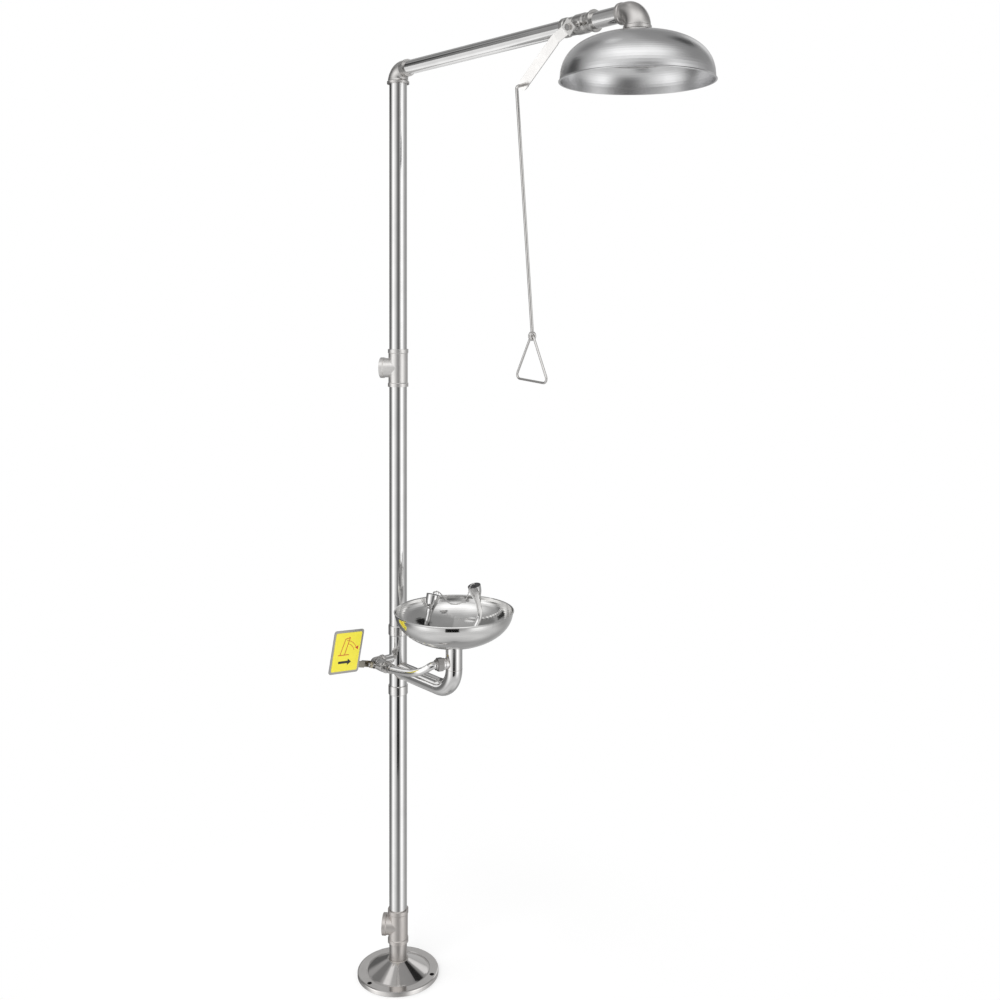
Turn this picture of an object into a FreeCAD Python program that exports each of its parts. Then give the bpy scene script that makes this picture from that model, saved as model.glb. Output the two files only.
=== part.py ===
import FreeCAD, Part
import math
import os
from FreeCAD import Vector

# Combination emergency shower and eyewash in stainless steel pipework, in millimetres.
# +Z is up and the origin is on the floor at the column axis. +X runs from the column
# towards the shower and the bowl. Both valve stems point roughly along -Y.
# Angles are in degrees; azimuths turn from +X towards +Y.

os.makedirs("parts", exist_ok=True)

X, Y, Z = Vector(1, 0, 0), Vector(0, 1, 0), Vector(0, 0, 1)
ORIGIN = Vector(0, 0, 0)

# ---- driving dimensions ----
CLEARANCE = 0.03                      # radial gap of a pipe in its socket
COL_R, COL_BORE = 21.2, 18.2          # column pipe, 1-1/4 in
ARM_R, ARM_BORE = 16.85, 14.0         # shower arm pipe, 1 in
COL_FIT = COL_R + CLEARANCE           # socket radii
ARM_FIT = ARM_R + CLEARANCE

BASE_R, BASE_T = 97.0, 11.0           # flange plate
BASE_CONE_R, BASE_TOP_Z = 75.5, 37.0  # raised cone on the plate
BOLT_PCD, BOLT_R, BOLT_AZIMUTHS = 172.0, 5.5, (33.0, 153.0, 273.0)
PIPE_FOOT_Z = 14.0                    # lower end of the base nipple

# column tees: height, half length, reach and azimuth of the side port
DRAIN_Z, DRAIN_HALF, DRAIN_REACH, DRAIN_AZIMUTH = 116.5, 39.0, 36.5, 224.0
INLET_Z, INLET_HALF, INLET_REACH, INLET_AZIMUTH = 1456.5, 45.0, 42.5, 219.0
TEE_R, TEE_SOCKET = 23.2, 15.0
SLEEVES = ((673.0, 695.0), (815.5, 839.5))       # bottom and top of each sleeve
JOINT_1_Z, JOINT_2_Z = [sum(sleeve) / 2 for sleeve in SLEEVES]

ARM_Z = 2173.0                        # shower arm axis
TOP_ELBOW_Z, TOP_ELBOW_X = 2139.5, 42.0          # faces of the top elbow
TOP_ELBOW_SOCKET = 13.0               # its socket for the arm
ELBOW_SOCKET = 12.0                   # the other elbow sockets
SHOWER_X = 774.0
SHOWER_ELBOW_Z, SHOWER_ELBOW_X = 2136.0, SHOWER_X - 42.0    # faces of the shower elbow
DOME_RIM_Z, DOME_TOP_Z, DOME_R, DOME_T = 2037.5, 2130.0, 147.5, 1.5
DISC_Z, DISC_T = 2080.0, 2.5          # deflector disc, underside and thickness

VALVE_X0, VALVE_X1, VALVE_STEM_X = 577.0, 664.0, 628.0      # shower valve faces and stem
VALVE_SOCKET_IN, VALVE_SOCKET_OUT = 14.0, 11.5
STEM_ROLL = math.radians(17.0)        # shower stem, tipped down from -Y
LEVER_TIP = Vector(455.3, -5.0, 2074.1)          # rod hole at the end of the shower lever
ROD_EYE = Vector(455.3, 21.0, 1545.0)            # eye at the foot of the pull rod
ROD_R = 3.5

BOWL_X, BOWL_Z, BOWL_R, BOWL_DEPTH, BOWL_T = 216.0, 918.0, 134.0, 79.0, 1.3
WASTE_Z, WASTE_R, WASTE_BORE, WASTE_BEND = 731.5, 19.0, 17.5, 54.0
EYEWASH_Y, EYEWASH_Z, EYEWASH_STEM_X = -65.0, 761.0, 29.0
EYEWASH_HALF = 17.5                   # eyewash valve face to ball centre
EYEWASH_ROLL = math.radians(14.0)     # eyewash stem, tipped up from -Y
SUPPLY_R, SUPPLY_BORE = 10.65, 7.5    # stub from the column to the eyewash
FEED_Z, FEED_AZIMUTH = 799.5, 253.0   # feed boss on the riser
FEED_R, FEED_BORE = 8.5, 7.0
RISER_R, RISER_BORE = 10.65, 8.0      # supply tube inside the waste pipe
NOZZLE_TEE_Z = 862.0
NOZZLE_Y, NOZZLE_Z, NOZZLE_LEAN = 70.0, 925.0, math.radians(15.8)
NOZZLE_ARM_R, NOZZLE_ARM_BORE = 6.25, 4.6

ARM_START = Vector(0, 0, ARM_Z)       # on the arm axis, so distances along it are x
SHOWER_FOOT = Vector(SHOWER_X, 0, 0)  # on the floor, so distances up from it are z
BOWL_FOOT = Vector(BOWL_X, 0, 0)


# ---- helpers ----
def cyl(radius, base, axis, start, end):
    """Cylinder on the line base + t * axis, axis a unit vector, from t = start to end."""
    run = axis * (end - start)
    return Part.makeCylinder(radius, run.Length, base + axis * start, run)


def cone(start_r, end_r, base, axis, start, end):
    run = axis * (end - start)
    return Part.makeCone(start_r, end_r, run.Length, base + axis * start, run)


def tube(radius, bore, base, axis, start, end):
    return cyl(radius, base, axis, start, end).cut(cyl(bore, base, axis, start, end))


def join(shape, *others):
    for other in others:
        shape = shape.fuse(other)
    return shape


def cut(shape, *tools):
    for tool in tools:
        shape = shape.cut(tool)
    return shape


def face(points):
    return Part.Face(Part.makePolygon(points + [points[0]]))


def slab(origin, along, across, start, end, low, high, run):
    """Parallelogram start..end by low..high in the plane of along and across, extruded."""
    corners = ((start, high), (end, high), (end, low), (start, low))
    return face([origin + along * a + across * b for a, b in corners]).extrude(run)


def spin(profile, base=ORIGIN, axis=Z, radial=X):
    """Revolve (radius, height) points about the line through base along axis."""
    points = [base + radial * r + axis * height for r, height in profile]
    return face(points).revolve(base, axis, 360)


def nut(across_flats, bore, base, axis, start, end, turn=0.0):
    """Hexagon nut with both faces chamfered, rolled by turn degrees about its axis."""
    corner_r = across_flats / math.sqrt(3.0)
    side = axis.cross(Z if abs(axis.z) < 0.9 else X).normalize()
    up = axis.cross(side)
    outline = []
    for i in range(6):
        angle = math.radians(60 * i + turn)
        outline.append(base + axis * start + side * (corner_r * math.cos(angle))
                       + up * (corner_r * math.sin(angle)))
    chamfer = min(1.6, (end - start) * 0.3)
    face_r, full_r = corner_r - chamfer * 0.9, corner_r + 0.2
    envelope = join(
        cone(face_r, full_r, base, axis, start, start + chamfer),
        cyl(full_r, base, axis, start + chamfer, end - chamfer),
        cone(full_r, face_r, base, axis, end - chamfer, end))
    body = face(outline).extrude(axis * (end - start)).common(envelope)
    return body.cut(cyl(bore, base, axis, start - 1, end + 1))


def sweep(path, radius, start, tangent):
    """Round bar along a wire that leaves start in the direction tangent."""
    section = Part.Wire([Part.makeCircle(radius, start, tangent)])
    return path.makePipeShell([section], True, False)


def spline_bar(points, radius, **end_tangents):
    """Round bar along a smooth curve through the points."""
    curve = Part.BSplineCurve()
    curve.interpolate(Points=points, **end_tangents)
    tangent = curve.tangent(curve.FirstParameter)[0]
    return sweep(Part.Wire([curve.toShape()]), radius, points[0], tangent)


def line(start, end):
    return Part.LineSegment(start, end).toShape()


def corner_arc(before, vertex, after, radius):
    """Start, middle and end point of the arc that rounds the corner at vertex."""
    back = before.sub(vertex).normalize()
    onward = after.sub(vertex).normalize()
    half_angle = back.getAngle(onward) / 2
    setback = radius / math.tan(half_angle)
    bisector = Vector(back + onward).normalize()
    middle = vertex + bisector * (radius / math.sin(half_angle) - radius)
    return vertex + back * setback, middle, vertex + onward * setback


def fillet_path(points, radii):
    """Polyline with its inner corners rounded."""
    edges, last = [], points[0]
    for i, radius in enumerate(radii):
        start, middle, end = corner_arc(*points[i:i + 3], radius)
        edges += [line(last, start), Part.Arc(start, middle, end).toShape()]
        last = end
    edges.append(line(last, points[-1]))
    return Part.Wire(edges)


def polar(radius, azimuth, z=0.0):
    angle = math.radians(azimuth)
    return Vector(radius * math.cos(angle), radius * math.sin(angle), z)


def end_band(body_r, band_r, end_face, inward, width):
    """Raised band round the end of a cast fitting, with a 1.5 mm slope back to the body."""
    return cyl(band_r, end_face, inward, 0, width - 1.5).fuse(
        cone(band_r, body_r, end_face, inward, width - 1.5, width))


def dish_profile(radius, depth, power, steps, inner_r=0.0):
    """(radius, height above the rim) points of a superelliptic dish, from inner_r outwards."""
    first = math.asin(min(1.0, inner_r / radius) ** (power / 2))
    points = []
    for i in range(steps + 1):
        angle = first + (math.pi / 2 - first) * (i / steps)
        points.append((radius * math.sin(angle) ** (2.0 / power),
                       depth * max(0.0, math.cos(angle)) ** (2.0 / power)))
    return points


def largest(shape):
    return max(shape.Solids, key=lambda solid: solid.Volume)


def save(name, shape):
    """Write one piece, unwrapped to a bare solid if it holds only one."""
    if len(shape.Solids) == 1:
        shape = shape.Solids[0]
    shape = shape.removeSplitter()
    if len(shape.Solids) == 1:
        shape = shape.Solids[0]
    shape.exportStep("parts/" + name + ".step")


def save_group(name, shapes):
    save(name, Part.makeCompound([shape.Solids[0] for shape in shapes]))


# ---- base flange ----
def base_flange():
    """Round plate with a shallow groove round the foot of a raised cone, hollow beneath."""
    profile = [
        (0, 0), (BASE_R - 1, 0), (BASE_R, 1), (BASE_R, BASE_T - 3),
        (BASE_R - 0.9, BASE_T - 0.9), (BASE_R - 3, BASE_T),
        (BASE_CONE_R + 0.7, BASE_T), (BASE_CONE_R, BASE_T - 0.7),
        (BASE_CONE_R - 1.2, BASE_T - 1.1), (BASE_CONE_R - 2.6, BASE_T - 0.7),
        (BASE_CONE_R - 5.0, BASE_T + 0.9),
        (26.5, BASE_TOP_Z - 1), (25, BASE_TOP_Z), (0, BASE_TOP_Z)]
    hollow = [(30, -1), (70, -1), (68, 5), (30, 22)]
    bolt_holes = [cyl(BOLT_R, polar(BOLT_PCD / 2, azimuth, -1), Z, 0, 20)
                  for azimuth in BOLT_AZIMUTHS]
    socket = cyl(COL_FIT, ORIGIN, Z, PIPE_FOOT_Z, 60)
    return cut(spin(profile), spin(hollow), socket, *bolt_holes)


save("base_flange", base_flange())


# ---- column ----
def column_pipe(bottom_z, top_z):
    return tube(COL_R, COL_BORE, ORIGIN, Z, bottom_z, top_z)


def tee(z_mid, half, reach, azimuth):
    """Cast tee on the column with one side port."""
    centre = Vector(0, 0, z_mid)
    port = polar(1, azimuth)
    body = join(
        cyl(TEE_R, centre, Z, -half, half),
        cyl(TEE_R, centre, port, 0, reach),
        end_band(TEE_R, 24.6, centre - Z * half, Z, 10),
        end_band(TEE_R, 24.6, centre + Z * half, Z * -1, 10),
        end_band(TEE_R, 24.9, centre + port * reach, port * -1, 10))
    hole = join(
        cyl(COL_BORE, centre, Z, -half, half),
        cyl(COL_FIT, centre, Z, -half, -half + TEE_SOCKET),
        cyl(COL_FIT, centre, Z, half - TEE_SOCKET, half),
        cyl(COL_BORE, centre, port, 0, reach),
        cyl(19.6, centre, port, reach - TEE_SOCKET, reach + 0.01),
        cone(19.6, 21.4, centre, port, reach - 1.8, reach + 0.01))
    return body.cut(hole)


def sleeve(bottom, top):
    """Ring over a pipe joint, chamfered at both ends."""
    return spin([(COL_FIT, bottom), (22.4, bottom), (23.3, bottom + 1.2),
                 (23.3, top - 1.2), (22.4, top), (COL_FIT, top)])


def branch_section():
    """Column pipe with the eyewash supply stub and the waste pipe opening."""
    supply = Vector(0, 0, EYEWASH_Z)
    return cut(
        column_pipe(JOINT_1_Z, JOINT_2_Z).fuse(cyl(SUPPLY_R, supply, Y, -19, -53)),
        cyl(COL_BORE, ORIGIN, Z, JOINT_1_Z, JOINT_2_Z),
        cyl(SUPPLY_BORE, supply, Y, 0, -60),
        cyl(WASTE_BORE, Vector(0, 0, WASTE_Z), X, 0, 40))


save("base_nipple", column_pipe(PIPE_FOOT_Z, DRAIN_Z - DRAIN_HALF + TEE_SOCKET))
save("drain_tee", tee(DRAIN_Z, DRAIN_HALF, DRAIN_REACH, DRAIN_AZIMUTH))
save("lower_column_pipe", column_pipe(DRAIN_Z + DRAIN_HALF - TEE_SOCKET, JOINT_1_Z))
save_group("column_sleeves", [sleeve(bottom, top) for bottom, top in SLEEVES])
save("branch_section", branch_section())
# disc inside the column, between the waste opening and the supply stub
save("blanking_disc", cyl(COL_BORE - 0.02, ORIGIN, Z, 748.6, 752.6))
save("middle_column_pipe", column_pipe(JOINT_2_Z, INLET_Z - INLET_HALF + TEE_SOCKET))
save("inlet_tee", tee(INLET_Z, INLET_HALF, INLET_REACH, INLET_AZIMUTH))
save("upper_column_pipe", column_pipe(INLET_Z + INLET_HALF - TEE_SOCKET,
                                      TOP_ELBOW_Z + ELBOW_SOCKET))


# ---- reducing elbows ----
def bend_loft(centre, bend, first, last, first_r, last_r, sections=9):
    """Tapering quarter bend. first and last point from the bend centre to its end sections."""
    wires = []
    for i in range(sections):
        share = i / (sections - 1)
        cos, sin = math.cos(math.pi / 2 * share), math.sin(math.pi / 2 * share)
        outward = first * cos + last * sin
        tangent = last * cos - first * sin
        radius = first_r + (last_r - first_r) * share
        wires.append(Part.Wire([Part.makeCircle(radius, centre + outward * bend, tangent)]))
    return Part.makeLoft(wires, True, False)


def top_elbow():
    """Elbow from the column into the shower arm."""
    bend, column_r, arm_r = 26.5, 24.8, 19.3
    column_bore, arm_bore = 17.0, 13.6
    centre = Vector(bend, 0, ARM_Z - bend)
    body = join(
        bend_loft(centre, bend, X * -1, Z, column_r, arm_r),
        cyl(column_r, ORIGIN, Z, TOP_ELBOW_Z, ARM_Z - bend),
        cyl(arm_r, ARM_START, X, bend, TOP_ELBOW_X),
        end_band(column_r, 26.8, Z * TOP_ELBOW_Z, Z, 7),
        end_band(arm_r, 20.6, ARM_START + X * TOP_ELBOW_X, X * -1, 7))
    hole = join(
        bend_loft(centre, bend, X * -1, Z, column_bore, arm_bore),
        cyl(column_bore, ORIGIN, Z, TOP_ELBOW_Z, ARM_Z - bend + 0.01),
        cyl(arm_bore, ARM_START, X, bend - 0.01, TOP_ELBOW_X + 1),
        cyl(COL_FIT, ORIGIN, Z, TOP_ELBOW_Z - 1, TOP_ELBOW_Z + ELBOW_SOCKET),
        cyl(ARM_FIT, ARM_START, X, TOP_ELBOW_X - TOP_ELBOW_SOCKET, TOP_ELBOW_X + 1))
    return body.cut(hole)


def shower_elbow():
    """Elbow from the shower arm down to the shower head."""
    bend, arm_r, head_r = 28.0, 20.4, 25.8
    arm_bore, head_bore = 13.6, 17.0
    bend_x, bend_z = SHOWER_X - bend, ARM_Z - bend
    centre = Vector(bend_x, 0, bend_z)
    body = join(
        bend_loft(centre, bend, Z, X, arm_r, head_r),
        cyl(arm_r, ARM_START, X, SHOWER_ELBOW_X, bend_x),
        cyl(head_r, SHOWER_FOOT, Z, SHOWER_ELBOW_Z, bend_z),
        end_band(arm_r, 21.6, ARM_START + X * SHOWER_ELBOW_X, X, 7),
        end_band(head_r, 27.4, SHOWER_FOOT + Z * SHOWER_ELBOW_Z, Z, 7.5))
    hole = join(
        bend_loft(centre, bend, Z, X, arm_bore, head_bore),
        cyl(arm_bore, ARM_START, X, SHOWER_ELBOW_X - 1, bend_x + 0.01),
        cyl(head_bore, SHOWER_FOOT, Z, SHOWER_ELBOW_Z - 1, bend_z + 0.01),
        cyl(ARM_FIT, ARM_START, X, SHOWER_ELBOW_X - 1, SHOWER_ELBOW_X + ELBOW_SOCKET),
        cyl(COL_FIT, SHOWER_FOOT, Z, SHOWER_ELBOW_Z - 1, SHOWER_ELBOW_Z + ELBOW_SOCKET))
    return body.cut(hole)


save("top_elbow", top_elbow())
save("shower_elbow", shower_elbow())


# ---- ball valves ----
class BallValve:
    """Two-piece ball valve, closed. All distances are taken from the ball centre,
    along the flow axis or along the stem."""

    SLOT_HALF = 3.2                   # half width of the stem slot in the ball
    outlet_neck = 0.0                 # length of the neck beyond the outlet face, if any

    def __init__(self, centre, stem, **sizes):
        self.centre, self.axis, self.stem = centre, X, stem
        self.side = stem.cross(self.axis)
        self.__dict__.update(sizes)

    def on_flow(self, radius, start, end):
        return cyl(radius, self.centre, self.axis, start, end)

    def on_stem(self, radius, start, end):
        return cyl(radius, self.centre, self.stem, start, end)

    def stem_tube(self, radius, bore, start, end):
        return tube(radius, bore, self.centre, self.stem, start, end)

    def stem_box(self, half_length, half_width, start, height):
        """Box on the stem axis, its length along the flow."""
        axis, side, stem = self.axis, self.side, self.stem
        turned = FreeCAD.Matrix(axis.x, side.x, stem.x, 0, axis.y, side.y, stem.y, 0,
                                axis.z, side.z, stem.z, 0, 0, 0, 0, 1)
        corner = Vector(-half_length, -half_width, 0)
        box = Part.makeBox(2 * half_length, 2 * half_width, height)
        box.Placement = FreeCAD.Placement(turned).multiply(
            FreeCAD.Placement(corner, FreeCAD.Rotation()))
        box.translate(self.centre + stem * start)
        return box

    def body(self):
        inlet, ball_r, middle_r = self.inlet, self.ball_r, self.middle_r
        collar_end = inlet + self.inlet_collar
        profile = [
            (0, inlet), (self.inlet_r, inlet), (self.inlet_r, collar_end),
            (self.waist_r, collar_end + 2.5), (self.waist_r, -ball_r - 4),
            (middle_r, -ball_r + 3), (middle_r, ball_r - 4),
            (middle_r - 1.2, ball_r + 1), (middle_r - 1.2, self.joint), (0, self.joint)]
        outer = join(
            spin(profile, self.centre, self.axis, self.side),
            self.on_stem(self.tower_r, 0, self.tower),
            cone(self.tower_r + 2.5, self.tower_r, self.centre, self.stem,
                 middle_r - 3, middle_r + 2))
        inner = join(
            self.on_flow(self.inlet_pipe_r + CLEARANCE, inlet - 1, inlet + self.inlet_socket),
            self.on_flow(self.bore, inlet, 0),
            self.on_flow(ball_r + 1.3, -ball_r - 3.0, self.joint + 1),
            self.on_stem(self.stem_r + 0.05, 0, self.tower + 1),
            self.on_stem(self.stem_r + 2.6, middle_r - 0.5, self.tower + 1))
        return outer.cut(inner)

    def end_piece(self):
        """Outlet half, with a spigot that enters the body."""
        joint, outlet, spigot_r = self.joint, self.outlet, self.ball_r + 1.27
        collar = outlet - self.outlet_collar
        profile = [
            (0, joint - 5), (spigot_r, joint - 5), (spigot_r, joint), (self.waist_r, joint),
            (self.waist_r, max(collar - 2, joint + 0.3)),
            (self.outlet_r, max(collar + 0.5, joint + 1.3)),
            (self.outlet_r, outlet - 0.8), (self.outlet_r - 0.8, outlet), (0, outlet)]
        piece = cut(
            spin(profile, self.centre, self.axis, self.side),
            self.on_flow(self.bore, joint - 6, outlet + 1),
            self.on_flow(self.outlet_pipe_r + CLEARANCE, outlet - self.outlet_socket,
                         outlet + 1))
        if self.outlet_neck:
            neck_end = outlet + self.outlet_neck
            piece = piece.fuse(self.on_flow(9.6, outlet - 3.5, neck_end))
            piece = piece.cut(self.on_flow(6.2, outlet - 6, neck_end + 1))
        return piece

    def seats(self):
        rings = []
        for start, end in ((-self.ball_r - 3.0, -self.ball_r * 0.62),
                           (self.ball_r * 0.62, self.joint - 5)):
            ring = tube(self.ball_r * 0.93, self.bore, self.centre, self.axis, start, end)
            rings.append(ring.cut(Part.makeSphere(self.ball_r + 0.02, self.centre)))
        return rings

    def ball(self):
        """Ball with its port across the flow and a slot for the stem."""
        reach = self.ball_r + 2
        return cut(
            Part.makeSphere(self.ball_r, self.centre),
            cyl(self.bore, self.centre, self.side, -reach, reach),
            self.stem_box(reach, self.SLOT_HALF, self.ball_r - self.SLOT_HALF, 6))

    def stem_piece(self):
        """Stem with a key that enters the slot of the ball."""
        key_start = self.ball_r - 3.15
        key = self.stem_box(self.stem_r * 0.8, self.SLOT_HALF - 0.05, key_start,
                            self.ball_r * 0.97 - key_start + 1.0)
        key = key.common(self.on_stem(self.stem_r, 0, self.ball_r + 6))
        return self.on_stem(self.stem_r, self.ball_r + 0.03, self.stem_end).fuse(key)

    def packing(self):
        return self.stem_tube(self.stem_r + 2.57, self.stem_r + 0.05,
                              self.middle_r - 0.48, self.tower - 2.2)

    def gland_nut(self):
        bore = self.stem_r + 0.06
        return nut(self.gland_flats, bore, self.centre, self.stem,
                   self.tower + 0.02, self.tower + 3.6).fuse(
            self.stem_tube(self.stem_r + 2.55, bore, self.tower - 2.17, self.tower + 1))


SHOWER_STEM = Vector(0, -math.cos(STEM_ROLL), -math.sin(STEM_ROLL))
SHOWER_BALL = Vector(VALVE_STEM_X, 0, ARM_Z)
EYEWASH_STEM = Vector(0, -math.cos(EYEWASH_ROLL), math.sin(EYEWASH_ROLL))
EYEWASH_BALL = Vector(EYEWASH_STEM_X, EYEWASH_Y, EYEWASH_Z)

VALVES = {
    "shower": BallValve(
        SHOWER_BALL, SHOWER_STEM, ball_r=15.0, bore=9.5, joint=22.0,
        inlet=VALVE_X0 - VALVE_STEM_X, inlet_collar=9.0, inlet_r=20.2,
        inlet_pipe_r=ARM_R, inlet_socket=VALVE_SOCKET_IN,
        outlet=VALVE_X1 - VALVE_STEM_X, outlet_collar=5.0, outlet_r=22.4,
        outlet_pipe_r=ARM_R, outlet_socket=VALVE_SOCKET_OUT,
        waist_r=18.9, middle_r=20.6, tower_r=9.5, tower=29.0,
        stem_r=5.0, stem_end=46.0, gland_flats=19.0),
    "eyewash": BallValve(
        EYEWASH_BALL, EYEWASH_STEM, ball_r=9.5, bore=6.0, joint=13.0,
        inlet=-EYEWASH_HALF, inlet_collar=5.0, inlet_r=13.8,
        inlet_pipe_r=8.4, inlet_socket=3.8,
        outlet=EYEWASH_HALF, outlet_collar=5.0, outlet_r=14.1,
        outlet_pipe_r=8.5, outlet_socket=3.0, outlet_neck=15.5,
        waist_r=12.6, middle_r=14.2, tower_r=8.0, tower=23.0,
        stem_r=4.0, stem_end=44.0, gland_flats=16.0)}

for prefix, valve in VALVES.items():
    save(prefix + "_valve_body", valve.body())
    save(prefix + "_valve_end", valve.end_piece())
    save(prefix + "_ball", valve.ball())
    save(prefix + "_stem", valve.stem_piece())
save_group("valve_seats", [seat for valve in VALVES.values() for seat in valve.seats()])
save_group("stem_packings", [valve.packing() for valve in VALVES.values()])
save_group("gland_nuts", [valve.gland_nut() for valve in VALVES.values()])

# ---- shower pipes ----
save("shower_arm_pipe", tube(ARM_R, ARM_BORE, ARM_START, X, TOP_ELBOW_X - TOP_ELBOW_SOCKET,
                             VALVE_X0 + VALVE_SOCKET_IN))
save("shower_outlet_nipple", tube(ARM_R, ARM_BORE, ARM_START, X, VALVE_X1 - VALVE_SOCKET_OUT,
                                  SHOWER_ELBOW_X + ELBOW_SOCKET))
save("shower_head_nipple", tube(COL_R, COL_BORE, SHOWER_FOOT, Z, 2104,
                                SHOWER_ELBOW_Z + ELBOW_SOCKET))


# ---- shower dome ----
def shower_dome():
    """Spun dome with a rolled rim, bored for the head nipple."""
    height, power, steps, inner_r = DOME_TOP_Z - DOME_RIM_Z, 2.5, 30, 22.0
    outer = dish_profile(DOME_R, height, power, steps, inner_r)[:-1]
    inner = dish_profile(DOME_R - DOME_T, height - DOME_T, power, steps, inner_r)[:-1]
    outer[0] = (COL_FIT, outer[0][1])
    inner[0] = (COL_FIT, inner[0][1])
    rim = [(DOME_R, 3.2), (DOME_R + 1.1, 1.6), (DOME_R + 2.5, 1.0), (DOME_R + 2.5, 0),
           (DOME_R - DOME_T + 0.4, 0)]
    return spin(outer + rim + inner[::-1], SHOWER_FOOT + Z * DOME_RIM_Z)


DOME_INSIDE_Z = DOME_TOP_Z - DOME_T
save("shower_dome", shower_dome())
save("dome_collar", tube(25.6, COL_FIT, SHOWER_FOOT, Z, DOME_TOP_Z + 0.05,
                         SHOWER_ELBOW_Z - 0.4))
save("dome_locknut", nut(54, COL_FIT, SHOWER_FOOT, Z, DOME_INSIDE_Z - 10.0,
                         DOME_INSIDE_Z - 1.0, turn=30))

# ---- deflector: a perforated disc screwed to three posts of a bridge on the nipple ----
POST_AZIMUTHS = (90, 210, 330)
POST_FEET = [SHOWER_FOOT + polar(58, azimuth) for azimuth in POST_AZIMUTHS]
DISC_TOP_Z = DISC_Z + DISC_T
DISC_HOLE_RINGS = ((16, 6), (32, 12), (46, 18), (72, 24), (84, 30))   # ring radius, holes


def deflector_bridge():
    bridge = tube(27.0, COL_FIT, SHOWER_FOOT, Z, 2105, 2115)
    for azimuth, foot in zip(POST_AZIMUTHS, POST_FEET):
        outward = polar(1, azimuth)
        leg = slab(SHOWER_FOOT + Z * 2108, outward, Z.cross(outward), 24, 62, -5, 5, Z * 4)
        bridge = join(bridge, leg, cyl(4.5, foot, Z, DISC_TOP_Z, 2110))
    bridge = bridge.cut(cyl(COL_FIT, SHOWER_FOOT, Z, 2100, 2120))
    return cut(bridge, *[cyl(2.5, foot, Z, DISC_Z, 2098) for foot in POST_FEET])


def deflector_disc():
    spots = [(2.0, SHOWER_FOOT + polar(ring_r, 360.0 * i / count))
             for ring_r, count in DISC_HOLE_RINGS for i in range(count)]
    spots += [(2.7, foot) for foot in POST_FEET]
    holes = [cyl(radius, spot, Z, DISC_Z - 1, DISC_Z + 4) for radius, spot in spots]
    return cyl(92, SHOWER_FOOT, Z, DISC_Z, DISC_TOP_Z).cut(Part.makeCompound(holes))


def deflector_screw(foot):
    shank = cyl(2.48, foot, Z, DISC_Z - 0.1, 2097)
    return shank.fuse(cyl(4.6, foot, Z, DISC_Z - 3.4, DISC_Z - 0.04)).removeSplitter()


save("deflector_bridge", deflector_bridge())
save("deflector_disc", deflector_disc())
save_group("deflector_screws", [deflector_screw(foot) for foot in POST_FEET])

# ---- shower lever ----
LEVER_T = 3.0
LEVER_ANGLE = 20.0                    # slope of the hub strip below -X
LEVER_HUB = SHOWER_BALL + SHOWER_STEM * 37.0
HUB_BORE = 5.02
HUB_DOWN = SHOWER_STEM.cross(X * -1)  # downwards, square to the stem


def in_hub_plane(angle, radius):
    """Offset square to the stem. Angle 0 is -X, positive is downwards."""
    turn = math.radians(angle)
    return X * (-radius * math.cos(turn)) + HUB_DOWN * (radius * math.sin(turn))


def shower_lever():
    """Flat strip on the stem, folded once towards the pull rod, with a round tip."""
    hub_half, tip_half = 10.5, 11.5   # half widths
    hub_length = 46.0
    along = in_hub_plane(LEVER_ANGLE, 1.0)
    across = in_hub_plane(LEVER_ANGLE + 90, 1.0)
    hub_strip = slab(LEVER_HUB, along, across, -12, hub_length, -hub_half, hub_half,
                     SHOWER_STEM * LEVER_T)
    fold = LEVER_HUB + along * hub_length + SHOWER_STEM * (LEVER_T / 2)
    tip_along = LEVER_TIP.sub(fold).normalize()
    normal = tip_along.cross(across).normalize()
    tip_across = normal.cross(tip_along).normalize()
    start = fold - normal * (LEVER_T / 2)
    length = LEVER_TIP.sub(fold).Length
    # distance from the fold, offset across the strip
    outline = [(-1.5, hub_half), (10, tip_half), (length, tip_half),
               (length, -tip_half), (10, -tip_half), (-1.5, -hub_half)]
    tip_strip = face([start + tip_along * a + tip_across * b for a, b in outline])
    tip_strip = tip_strip.extrude(normal * LEVER_T).fuse(
        cyl(tip_half, start + tip_along * length, normal, 0, LEVER_T))
    # a round bar fills the fold line
    lever = join(hub_strip, tip_strip, cyl(1.9, fold, across, hub_half, -hub_half))
    return cut(
        lever,
        cyl(HUB_BORE, LEVER_HUB, SHOWER_STEM, -2, 6),
        cyl(ROD_R + 0.08, LEVER_TIP, SHOWER_STEM, -20, 20))


def lever_hub_plate():
    """Square plate over the lever end, held by the stem nut."""
    foot = LEVER_HUB + SHOWER_STEM * (LEVER_T + 0.01)
    corners = [foot + in_hub_plane(angle, 18.4) for angle in (-8, 82, 172, 262)]
    return face(corners).extrude(SHOWER_STEM * 2.0).cut(
        cyl(HUB_BORE, LEVER_HUB, SHOWER_STEM, 0, 8))


save("shower_lever", shower_lever())
save("lever_hub_plate", lever_hub_plate())
save("shower_stem_nut", nut(13, 5.01, LEVER_HUB, SHOWER_STEM, LEVER_T + 2.02, LEVER_T + 6.5,
                            turn=12))


# ---- pull rod and handle ----
def pull_rod():
    """Rod through the lever tip, bent down to an eye."""
    top = LEVER_TIP - SHOWER_STEM * 17.0
    knee = LEVER_TIP + SHOWER_STEM * 19.0
    path = fillet_path([top, knee, ROD_EYE + Z * 9.0], [7.0])
    eye = Part.makeTorus(7.0, 3.4, ROD_EYE, X).cut(cyl(3.8, ROD_EYE, X, -5, 5))
    return sweep(path, ROD_R, top, knee.sub(top)).fuse(eye)


def rod_nut():
    """Nut with a washer face towards the lever."""
    inward, bore = SHOWER_STEM * -1, ROD_R + 0.01
    return nut(13, bore, LEVER_TIP, inward, 6.4, 12.0, turn=10).fuse(
        tube(7.6, bore, LEVER_TIP, inward, 4.6, 6.41))


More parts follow.
